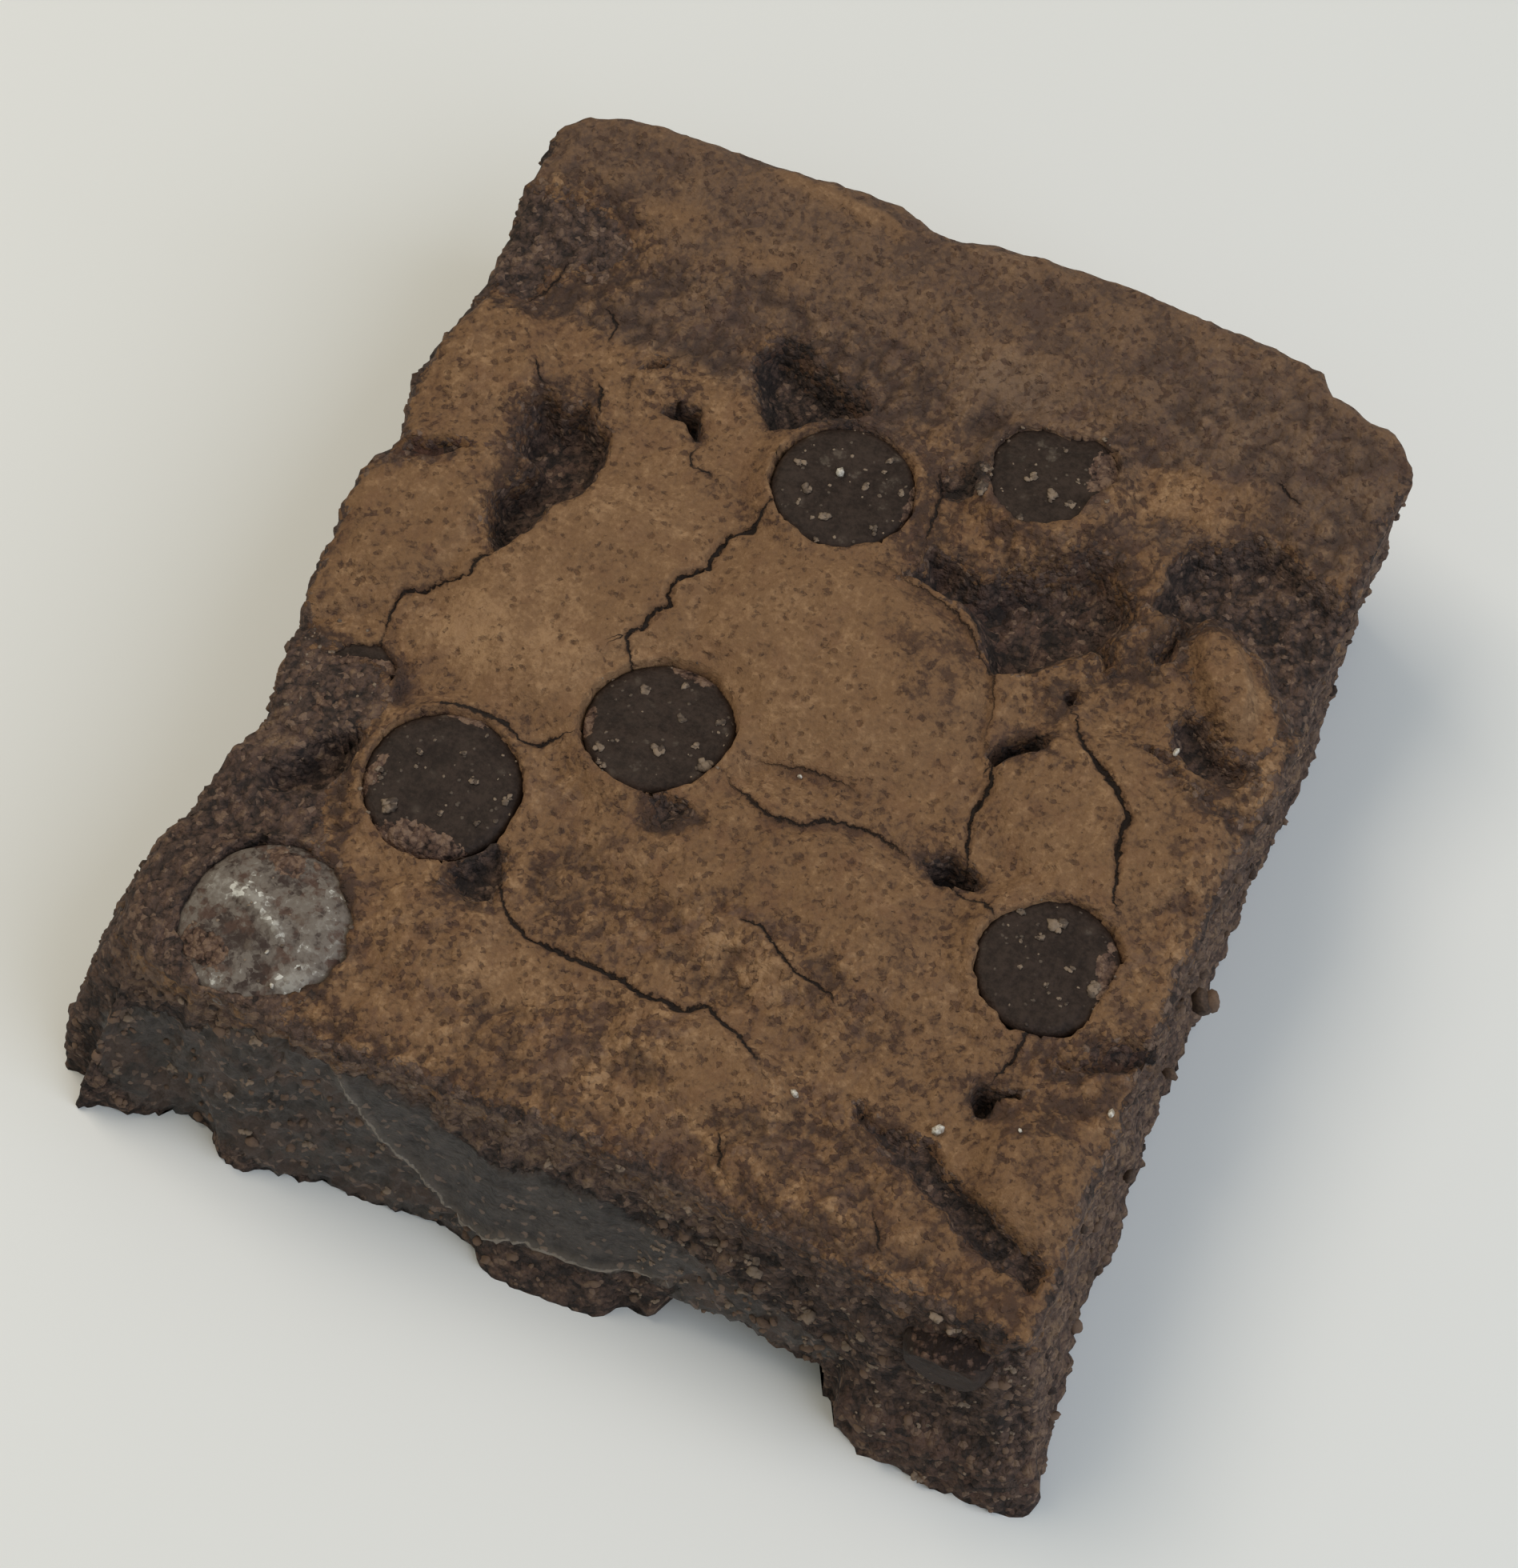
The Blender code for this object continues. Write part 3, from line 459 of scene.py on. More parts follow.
def plan_points(u, v, edges):
    """Points at shares u and v across the plan that four edges bound, with its corners rounded, and how far
    each is in from the left, right, front and back."""
    left, right, front, back = edges
    nominal_x, nominal_y = mix(*NOMINAL_X, u), mix(*NOMINAL_Y, v)
    x0, x1 = curve(left, nominal_y), curve(right, nominal_y)
    y0, y1 = curve(front, nominal_x), curve(back, nominal_x)
    x, y = mix(x0, x1, u), mix(y0, y1, v)
    sign_x, sign_y = np.where(u > 0.5, 1, -1), np.where(v > 0.5, 1, -1)
    corner_x, corner_y = np.where(u > 0.5, x1, x0), np.where(v > 0.5, y1, y0)
    a, b = 1 - abs(corner_x - x) / CORNER_RADIUS, 1 - abs(corner_y - y) / CORNER_RADIUS
    in_corner = (a > 0) & (b > 0)
    a, b = np.where(in_corner, a, 0), np.where(in_corner, b, 0)
    round_x = corner_x - sign_x * CORNER_RADIUS * (1 - a * np.sqrt(1 - b * b / 2))
    round_y = corner_y - sign_y * CORNER_RADIUS * (1 - b * np.sqrt(1 - a * a / 2))
    x, y = np.where(in_corner, round_x, x), np.where(in_corner, round_y, y)
    return x, y, (x - x0, x1 - x, y - y0, y1 - y)


def edge_fall(distance, roll):
    """How far the top has fallen at this distance in from an edge with the given roll."""
    share = np.clip(1 - distance / roll[0], 0, 1)
    return roll[1] * (1 - np.sqrt(1 - share * share * 0.96))


def plain_level(x, y, margins):
    """Level of the crust before anything has burst or cracked."""
    left, right, front, back = margins
    z = CRUST_LEVEL + RIM_RISE * smooth((y - RIM_START) / (RIM_CREST - RIM_START))
    z = z + np.max([rise * ellipse(x, y, c, half, turn, soft) for c, half, turn, rise, soft in PLATES], axis=0)
    left_share = smooth((LEFT_FRONT_END - y) / 4)
    z -= mix(edge_fall(left, SIDE_ROLL), edge_fall(left, LEFT_FRONT_ROLL), left_share)
    return z - edge_fall(right, SIDE_ROLL) - edge_fall(front, SIDE_ROLL) - edge_fall(back, SIDE_ROLL)


def chip_place(number):
    """Where a chip's base goes, as a matrix in millimetres."""
    centre, _, level, tilt = CHIPS[number - 1][:4]
    turn = Matrix.Rotation(math.radians(tilt[0]), 4, "X") @ Matrix.Rotation(math.radians(tilt[1]), 4, "Y")
    return Matrix.Translation((centre[0], centre[1], level)) @ turn


def crumb_relief(points, seed):
    """How far broken crumb stands out, and how far down between its grains a point is."""
    coarse, low = boulders(points, 1.6, seed)
    fine, hidden = boulders(points, 0.85, seed + 1)
    swell = 0.36 * lumps(points, 3.8, 2, seed + 2)
    return 0.75 * coarse + 1.1 * fine + swell, np.maximum(0.8 * low, 0.7 * hidden)


def ragged(x, y, flat):
    """The point moved about a little, so that no edge tested with it is a clean line."""
    return (x + 0.34 * lumps(flat, 1.5, 2, 11) + 0.13 * lumps(flat, 0.5, 1, 12),
            y + 0.34 * lumps(flat, 1.5, 2, 13) + 0.13 * lumps(flat, 0.5, 1, 14))


def chip_opening(number, x, y, flat, qx, qy):
    """How far a point is inside the opening in the crust over a chip."""
    centre, radius, _, _, _, gap_width = CHIPS[number - 1]
    if number in SHOWING:
        return depth_inside(qx, qy, SHOWING[number]) + gap_width
    wander = 0.42 * lumps(flat, 3.4, 2, 51) + 0.16 * lumps(flat, 0.8, 1, 52)
    return radius + gap_width + wander - np.hypot(x - centre[0], y - centre[1])


def nearest_edge(x, y, margins):
    """Signed distance to the nearest sharp edge of a burst place or of a chip's opening."""
    plain = plain_level(x, y, margins)
    flat = np.stack([x, y, plain], axis=1)
    qx, qy = ragged(*lay(x, y, plain), flat)
    edge = np.max([depth_inside(qx, qy, pit[6]) for pit in PITS], axis=0)
    for number in range(1, len(CHIPS) + 1):
        opening = chip_opening(number, x, y, flat, qx, qy)
        edge = np.where(abs(opening) < abs(edge), opening, edge)
    return edge


def snapped_to_edges(x, y, margins, shape):
    """The top's points with those beside a sharp edge moved onto it, so that the mesh follows the edge."""
    for _ in range(2):
        edge = nearest_edge(x, y, margins).reshape(shape)
        slope_x = np.gradient(edge, axis=1) / np.gradient(x.reshape(shape), axis=1)
        slope_y = np.gradient(edge, axis=0) / np.gradient(y.reshape(shape), axis=0)
        steep = np.maximum(0.3, slope_x ** 2 + slope_y ** 2)
        near = (abs(edge) < 0.6 * GRID_STEP) & (np.minimum.reduce(margins).reshape(shape) > 2 * GRID_STEP)
        reach = np.clip(-edge / steep, -0.5 * GRID_STEP, 0.5 * GRID_STEP) * near
        x, y = x + (reach * slope_x).ravel(), y + (reach * slope_y).ravel()
    return x, y


def dress_top(x, y, margins):
    """Levels of the top's points and what each shows, as a dict of values."""
    plain = plain_level(x, y, margins)
    flat = np.stack([x, y, plain], axis=1)
    px, py = lay(x, y, plain)
    rough = np.full(len(x), 0.4)
    tone = np.zeros(len(x))
    warm = np.zeros(len(x))
    drift_x, drift_y = 0.9 * lumps(flat, 3.0, 2, 5), 0.9 * lumps(flat, 3.0, 2, 6)
    for centre, half, turn, soft, patch_rough, patch_tone, patch_warm in PATCHES:
        share = ellipse(px + drift_x, py + drift_y, centre, half, turn, soft)
        rough, tone, warm = (mix(rough, patch_rough, share), mix(tone, patch_tone, share),
                             mix(warm, patch_warm, share))
    qx, qy = ragged(px, py, flat)
    bare = np.full(len(x), -3.0)
    sunk = np.zeros(len(x))
    for depth, slope, dark, red, sharp_side, fade, outline in PITS:
        inside = depth_inside(qx, qy, outline)
        middle = np.mean(outline, axis=0)
        facing = math.radians(sharp_side) - np.arctan2(qy - middle[1], qx - middle[0])
        soft = mix(0.25, fade, smooth(0.55 - 0.9 * np.cos(facing)))
        bare = np.maximum(bare, inside / (0.5 + soft))
        lip = min(0.55, 0.5 * depth)
        sunk = np.maximum(sunk, lip * smooth(inside / (0.15 + 0.9 * soft)) + (depth - lip) * smooth(inside / slope))
        share = smooth(inside / (0.4 + soft) + 0.5)
        tone, warm = mix(tone, -dark, share), mix(warm, red, share)
        rough = np.maximum(rough, smooth(inside / (0.4 + 2 * soft) + 1.0) * smooth(soft / 0.8))
    for dark, red, outline in CRUMBLED:
        inside = depth_inside(qx, qy, outline)
        share = smooth(inside / 1.2 + 0.5) * (bare < 0)
        bare = np.maximum(bare, inside / 1.6)
        tone, warm = mix(tone, -dark, share), mix(warm, red, share)
        rough = np.maximum(rough, smooth(inside / 3.0 + 1.0))
    shard = depth_inside(qx, qy, SHARD)
    bare = np.where(shard > -0.4, -shard, bare)
    sunk = sunk * (1 - smooth(shard / 0.5 + 0.6))
    tone, warm = mix(tone, 0.6, smooth(shard + 0.5)), mix(warm, 0.1, smooth(shard + 0.5))
    rough = mix(rough, 0.35, smooth(shard / 0.6 + 0.5))
    for centre, half, change in TOUCHES:
        tone = tone + change * ellipse(px + drift_x, py + drift_y, centre, half, 0, 0.9)
    edge = np.minimum.reduce([margins[0], margins[1], margins[2]])
    bare = np.maximum(bare, 0.7 - edge + 0.5 * lumps(flat, 1.7, 2, 17))

    # Broken crumb, rough crust and smooth crust
    crumb = smooth(bare / 0.8 + 0.2)
    z = plain - sunk
    relief, low = crumb_relief(np.stack([x, y, 0.5 * z], axis=1), 21)
    knobs, between = boulders(flat * (1, 1, 0.3), 1.9, 31)
    small_knobs, small_between = boulders(flat * (1, 1, 0.3), 0.9, 35)
    broken = smooth(0.5 + 1.6 * lumps(flat, 4.0, 2, 33) + 1.4 * (rough - 0.55))
    knobs = broken * (0.8 * knobs + 0.6 * small_knobs) + 0.28 * lumps(flat, 1.2, 2, 34) + 0.4 * lumps(flat, 4.2, 2, 38)
    z += crumb * relief
    z += (1 - crumb) * rough * knobs
    z += (1 - crumb) * (0.16 * lumps(flat, 2.6, 2, 35) + 0.05 * lumps(flat, 0.8, 2, 36))
    ripple = smooth((py - 30.5) / 2.5)
    streaks = lumps(flat * (0.22, 1, 1), 1.7, 2, 37)
    z += ripple * 0.28 * streaks
    # Painted shade: this value darkens the crust in the crevices between its knobs.
    crevice_shade = (1 - crumb) * broken * rough * np.maximum(between, 0.6 * small_between)
    # Painted shade and light: this value is lighter on lump tops and darker in hollows and between grains.
    relief_shade = mix(1.6 * rough * knobs + 0.6 * ripple * streaks - 0.8 * crevice_shade, 1.2 * relief - 1.0 * low + 0.30, crumb)

    # Cracks and creases
    wx = px + 0.20 * lumps(flat, 0.9, 2, 41)
    wy = py + 0.20 * lumps(flat, 0.9, 2, 42)
    crack = np.full(len(x), 2.0)
    crack_half = np.zeros(len(x))
    closest = np.full(len(x), 1e9)
    for half, depth, route in CRACKS:
        side, gone = line_distance(wx, wy, route)
        taper = np.sin(np.pi * np.clip(gone, 0, 1)) ** 0.45
        width = half * np.maximum(0.25, taper) * (1 + 0.9 * lumps(flat, 1.6, 2, 43))
        z -= 0.5 * depth * (1 - smooth(abs(side) / (0.22 + 1.2 * width))) * np.maximum(0.3, taper)
        z += 0.10 * np.exp(-(abs(side) / 0.9) ** 2) * (1 - crumb)
        nearer = abs(side) - width < closest
        closest = np.where(nearer, abs(side) - width, closest)
        crack = np.where(nearer, np.clip(side, -2, 2), crack)
        crack_half = np.where(nearer, width * smooth((1.6 - abs(side)) / 0.6), crack_half)
    for wide, depth, half, route in CREASES:
        side, gone = line_distance(wx, wy, route)
        taper = np.sin(np.pi * np.clip(gone, 0, 1)) ** 0.5
        over = smooth(side / (0.35 * wide) + 0.3) * np.exp(-(np.maximum(side, 0) / (2 * wide)) ** 2)
        under = smooth(1 + side / wide) * smooth(0.4 - side / (0.35 * wide))
        z += depth * taper * (0.6 * over - under)
        # Painted shade on the low side of each fold
        tone -= 1.6 * taper * under
        nearer = abs(side) - half < closest
        closest = np.where(nearer, abs(side) - half, closest)
        crack = np.where(nearer, np.clip(side, -2, 2), crack)
        crack_half = np.where(nearer, half * taper * smooth((1.2 - abs(side)) / 0.5), crack_half)

    # The crust meets each chip, and the chip's socket goes down under it
    for number, (centre, radius, level, tilt, collar, gap_width) in enumerate(CHIPS, 1):
        normal = chip_place(number).to_3x3() @ Vector((0, 0, 1))
        top = level - (normal.x * (x - centre[0]) + normal.y * (y - centre[1])) / normal.z
        out = np.hypot(x - centre[0], y - centre[1])
        hug = smooth(1 - (out - radius) / 2.4) * (1 - crumb * 0.5)
        z = mix(z, top + collar + 0.5 * (z - plain), hug)
        opening = chip_opening(number, x, y, flat, qx, qy)
        cover = (out < radius + 0.6) & (opening < 0.1 * GRID_STEP)
        z = np.where(cover, np.maximum(z, top + (0.28 if number in SHOWING else 0.16) + 0.2 * relief), z)
        under = CHIP_HEIGHT * radius * np.interp(out / radius, *zip(*CHIP_UNDERSIDE)) + 0.3
        socket = (opening > 0.1 * GRID_STEP) & (out < 1.1 * radius)
        z = np.where(socket, np.minimum(z, top - under), z)
        bare = np.where(socket, np.maximum(bare, opening), bare)
        # Painted shade in each chip's socket and in the narrow gap round the chip
        tone = np.where(socket, -1.0, tone)
    return {"z": z, "bare": bare, "tone": tone, "warm": warm, "rough": rough, "crevice_shade": crevice_shade, "relief_shade": relief_shade,
            "crack": crack, "crack_half": crack_half, "film": np.full(len(x), -2.0)}


def band(t, feature):
    """1 between a feature's two ends along X, with short soft ends."""
    return smooth((t - feature["from"]) / 1.2) * smooth((feature["to"] - t) / 1.2)


def front_relief(x, z):
    """How far the front face stands out past the straight line from its top edge to its base."""
    under = UNDERCUT["depth"] * band(x, UNDERCUT) * (1 - smooth(z / UNDERCUT["top"]))
    belly = BELLY["depth"] * band(x, BELLY) * (1 - smooth(z / BELLY["top"]))
    foot = FOOT["depth"] * band(x, FOOT) * (1 - smooth((z - FOOT["top"] + 2) / 2))
    return belly + foot - under


# The smear that the knife pressed over the front face, along X and up: its film and its raised lip
FILM = ((-34, 8.6), (-31.6, 11.4), (-28.8, 12.2), (-25, 13.6), (-22.5, 15.8), (-20.5, 17.0), (-17.5, 16.3),
        (-15.2, 15.6), (-12.5, 15.8), (-9, 14.8), (-6.5, 13.0), (-3.5, 12.0), (0, 12.8), (3.4, 12.4), (6.5, 11.6),
        (9, 11.0), (12, 10.0), (15, 9.6), (18.5, 8.4), (21.4, 6.6), (21.0, 4.0), (16, 3.6), (12, 1.6), (8.8, 1.8),
        (9.2, 5.0), (7.2, 4.9), (4.8, 4.5), (0, 4.6), (-2.4, 3.9), (-3.6, 2.6), (-6, 0.2), (-11, 0.0),
        (-20, 0.0), (-23, 2.4), (-28, -0.5), (-31, 1.6), (-33, 4.6))
SMOOTH_FILM = ((-15.4, 15.4), (-14.6, 13.2), (-13.2, 11.0), (-12.2, 9.6), (-10.4, 8.0), (-9.0, 6.6), (-7.9, 5.0),
               (-7.1, 3.8), (-5.2, 3.3), (-3.4, 3.9), (-2.2, 4.8), (0, 5.0), (4.8, 4.9), (6.8, 5.4), (8.4, 6.0),
               (10.2, 7.2), (11.6, 9.0), (9.8, 10.6), (6.5, 11.4), (3.4, 12.0), (0, 12.4), (-3.5, 11.6),
               (-6.5, 12.6), (-9.0, 14.2), (-12.5, 15.2))
LIP = ((-15.2, 15.2), (-14.3, 13.2), (-13.1, 11.0), (-12.0, 9.4), (-10.2, 7.8), (-8.8, 6.4), (-7.7, 4.8),
       (-7.0, 3.7), (-5.2, 3.3), (-3.4, 3.9), (-2.2, 4.8), (0, 5.0), (4.8, 4.9), (6.8, 5.4), (8.5, 5.9),
       (9.4, 5.2))


# How far the right, front and left walls are held in from their straight lines
HELD = (0.60, 0.45, 0.20)
LEFT_FRONT_HELD = -0.5


def wall_rings(tops, bases, normals, top_values):
    """The walls' points ring by ring below the top edge, and what each shows."""
    rings = []
    for ring in range(1, WALL_RINGS + 1):
        share = ring / WALL_RINGS
        points = mix(tops, bases, share)
        points[:, 2] = tops[:, 2] * (1 - share)
        x, y, z = points.T
        front = smooth((-normals[:, 1] - 0.45) / 0.3)
        back = smooth((normals[:, 1] - 0.45) / 0.3)
        wx, wz = x + 0.6 * lumps(points, 2.0, 2, 61), z + 0.6 * lumps(points, 2.0, 2, 62)
        film = np.where(front > 0.5, depth_inside(wx, wz, FILM), -2.0)
        calm = np.where(front > 0.5, depth_inside(wx, wz, SMOOTH_FILM), -2.0)
        lip_side, lip_gone = line_distance(x + 0.3 * lumps(points, 1.6, 1, 63), z, LIP)
        lip_half = 0.17 * front * np.sin(np.pi * lip_gone) ** 0.4
        lip = 7.0 * lip_half * np.exp(-(lip_side / 0.4) ** 2)
        relief, low = crumb_relief(points, 21)
        pores, _, _ = grains(points, 3.1, 64)
        relief = relief - 0.5 * smooth((0.30 - pores) / 0.2) * smooth(0.4 + lumps(points, 6.0, 1, 65))
        smeared = smooth(film / 0.8 + 0.4)
        pressed = smooth(calm / 1.2 + 0.4)
        keep = 1 - 0.45 * smeared - 0.45 * pressed
        keep = mix(keep, 0.45, front * band(x, BELLY) * smooth((4.4 - z) / 1.2))
        keep = mix(keep, 0.18, back)
        left_held = mix(HELD[2], LEFT_FRONT_HELD, smooth((-18.5 - y) / 3))
        held = HELD[0] * smooth(normals[:, 0] / 0.5) + HELD[1] * front + left_held * smooth(-normals[:, 0] / 0.5)
        out = relief * keep * smooth(share * 8) + (0.5 - held) * np.sin(np.pi * share) - 0.3 * held * share
        out += front * front_relief(x, z) + 0.45 * lip + 0.12 * pressed * lumps(points, 2.6, 2, 66)
        out += mix(0.0, -0.35, smeared * (1 - pressed) * smooth(abs(lumps(points, 1.4, 1, 67)) * 2))
        out += front * smooth((7.0 - z) / 5) * (0.9 * np.exp(-((x + 30.4) / 1.9) ** 2)
                                                - 0.6 * np.exp(-((x + 26.2) / 1.4) ** 2))
        out -= 1.7 * share * smooth((-normals[:, 0] - 0.3) / 0.4) * smooth((-normals[:, 1] - 0.3) / 0.4)
        points[:, 0] += normals[:, 0] * out
        points[:, 1] += normals[:, 1] * out
        brown = smooth((z - 12.6 + 1.4 * lumps(points, 3.0, 1, 68)) / 2.0) * smooth((15 - x) / 4)
        right = smooth((normals[:, 0] - 0.3) / 0.4)
        # Painted light: the right wall is made lighter than the other walls of the same crumb.
        tone = mix(mix(0.35, 0.0, front), 1.7, right * (1 - front))
        tone = mix(tone, 2.3, brown * front)
        tone = mix(tone, 0.55, front * band(x, FOOT) * smooth((6.0 - z) / 1.5))
        tone = mix(tone, 0.35, front * band(x, BELLY) * smooth((4.4 - z) / 1.2))
        warm = mix(mix(0.35, -0.15, front), 0.0, right)
        warm = mix(warm, 0.35, brown * front)
        warm = mix(warm, 0.45, front * band(x, FOOT) * smooth((6.0 - z) / 1.5))
        warm = mix(warm, 0.30, front * band(x, BELLY) * smooth((4.4 - z) / 1.2))
        tone = tone + 0.9 * lumps(points, 1.9, 2, 69)
        bare = np.maximum(0.2, z * 0 + 3 * share + 0.3)
        bare = np.where(back > 0.5, -1.5, bare)
        tone = mix(tone, -0.7, back)
        warm = mix(warm, -0.1, back)
        # On the walls too, the relief value given to the shader is painted shade and light: darker between the grains
        # of crumb, lighter on their tops.
        rings.append((points, {"bare": bare, "tone": tone, "warm": warm, "rough": mix(1.0, 0.2, back),
                               "crevice_shade": 0 * x, "relief_shade": (1.2 * relief - 0.8 * low + 0.30) * mix(1.0, 0.3, back),
                               "crack": 0 * x + 2, "crack_half": 0 * x,
                               "film": np.where(film > -1.9, film + 0.6 * lip, film), "pressed": pressed,
                               "lip": np.clip(lip_side, -2, 2), "lip_half": lip_half}))
    return rings


def border(columns, rows):
    """The grid's outer points in counterclockwise order, as numbers of points."""
    width = columns + 1
    line = [c for c in range(columns)]
    line += [r * width + columns for r in range(rows)]
    line += [rows * width + c for c in range(columns, 0, -1)]
    line += [r * width for r in range(rows, 0, -1)]
    return np.array(line)


def make_mesh(name, points, faces, values, material):
    """A piece from points in plan millimetres, its faces and a value for each point under each name."""
    data = bpy.data.meshes.new(name)
    data.from_pydata(((points + PLAN_ORIGIN) * MM).tolist(), [], faces)
    for key, value in values.items():
        layer = data.attributes.new(key, "FLOAT", "POINT")
        layer.data.foreach_set("value", np.ascontiguousarray(value, np.float32))
    data.shade_smooth()
    data.materials.append(material)
    made = bpy.data.objects.new(name, data)
    bpy.context.scene.collection.objects.link(made)
    return made


def brownie_body(material):
    """The body, and the points of its top for things that lie on it."""
    columns = round((NOMINAL_X[1] - NOMINAL_X[0]) / GRID_STEP)
    rows = round((NOMINAL_Y[1] - NOMINAL_Y[0]) / GRID_STEP)
    v, u = np.meshgrid(np.linspace(0, 1, rows + 1), np.linspace(0, 1, columns + 1), indexing="ij")
    u, v = u.ravel(), v.ravel()
    x, y, margins = plan_points(u, v, TOP_EDGES)
    x, y = snapped_to_edges(x, y, margins, (rows + 1, columns + 1))
    values = dress_top(x, y, margins)
    top = np.stack([x, y, values.pop("z")], axis=1)
    values["pressed"] = 0 * x
    values["lip"] = 0 * x + 2
    values["lip_half"] = 0 * x

    # The cut edges bulge with the grains of crumb below them
    sides = [smooth(1 - m / 3.0) for m in margins]
    bulge = crumb_relief(top, 21)[0] * 0.9
    bulge = bulge * np.where(sides[3] > 0, 0.25, 1.0)
    top[:, 0] += bulge * (sides[1] - sides[0])
    top[:, 1] += bulge * (sides[3] - sides[2])

    line = border(columns, rows)
    base_x, base_y, _ = plan_points(u[line], v[line], BASE_EDGES)
    bases = np.stack([base_x, base_y, 0 * base_x], axis=1)
    ahead, behind = np.roll(bases, -3, axis=0), np.roll(bases, 3, axis=0)
    normals = np.stack([ahead[:, 1] - behind[:, 1], behind[:, 0] - ahead[:, 0]], axis=1)
    normals /= np.linalg.norm(normals, axis=1, keepdims=True)
    rings = wall_rings(top[line], bases, normals, values)

    points = np.concatenate([top] + [ring for ring, _ in rings] + [[bases.mean(axis=0)]])
    for key in values:
        values[key] = np.concatenate([values[key]] + [shown[key] + 0 * line for _, shown in rings] + [[0.0]])
    faces = []
    corner = np.arange(rows)[:, None] * (columns + 1) + np.arange(columns)[None, :]
    corner = corner.ravel()
    faces += np.stack([corner, corner + 1, corner + columns + 2, corner + columns + 1], axis=1).tolist()
    upper = line
    for ring in range(WALL_RINGS):
        lower = len(top) + ring * len(line) + np.arange(len(line))
        faces += np.stack([np.roll(upper, -1), upper, lower, np.roll(lower, -1)], axis=1).tolist()
        upper = lower
    centre = len(points) - 1
    faces += np.stack([np.full(len(line), centre), np.roll(upper, -1), upper], axis=1).tolist()
    body = make_mesh("brownie_dressed", points, faces, values, material)
    return body, top, np.array([ring for ring, _ in rings]), normals


# ---------------------------------------------------------------- Chips

CHIP_SIDES = 96
CHIP_OUTLINE = ((0.10, 0.000), (0.20, 0.001), (0.30, 0.002), (0.40, 0.003), (0.50, 0.005), (0.60, 0.007),
                (0.70, 0.010), (0.78, 0.014), (0.85, 0.021), (0.90, 0.032), (0.94, 0.048), (0.97, 0.070),
                (0.99, 0.100), (1.0, 0.135), (0.99, 0.180), (0.96, 0.250), (0.88, 0.37), (0.74, 0.55),
                (0.55, 0.72), (0.36, 0.86), (0.18, 0.95))

# Crumb caked on a chip: chip, centre and half sizes from the chip's centre, turn, softness
COATS = (
    (2, (3.8, 2.4), (2.2, 4.4), 0, 0.6),
    (4, (0.4, -4.9), (5.4, 2.3), 5, 0.6),
    (4, (-4.8, -2.0), (1.0, 3.2), -12, 0.7),
    (4, (-0.6, 5.2), (4.0, 0.7), -4, 0.8),
    (1, (5.0, -0.2), (0.9, 3.6), 8, 0.8),
    (3, (0.6, 4.8), (3.8, 0.9), -8, 0.8),
    (3, (-4.6, -1.6), (0.9, 2.2), 12, 0.8),
    (5, (3.6, 1.2), (1.2, 3.0), 8, 0.8),
    (6, (-3.0, -3.2), (3.0, 1.9), -18, 0.7),
    (6, (-0.6, 4.6), (3.4, 1.5), 0, 0.9),
)

# Bloom on chip 6, with a painted sheen along a bright band across its dome: centre and half sizes from its own centre,
# turn, softness, how light
BLOOM_AND_SHEEN = (
    ((-3.6, 1.3), (2.6, 1.5), 0, 0.9, 0.8),
    ((-1.2, 0.9), (2.2, 1.0), -14, 0.9, 1.5),
    ((1.0, -0.2), (2.0, 0.8), -28, 0.9, 1.7),
    ((4.0, 0.6), (2.2, 4.0), 10, 0.9, 0.25),
    ((3.6, -3.2), (2.1, 1.8), 0, 0.9, 1.3),
    ((-0.8, -5.2), (2.0, 0.9), 0, 0.9, 0.7),
    ((0.6, 3.2), (3.0, 1.7), 0, 0.9, -0.7),
    ((-1.6, -1.4), (3.4, 1.2), -18, 0.9, -1.0),
    ((0.8, -3.2), (2.2, 1.2), -10, 0.9, -0.5),
)


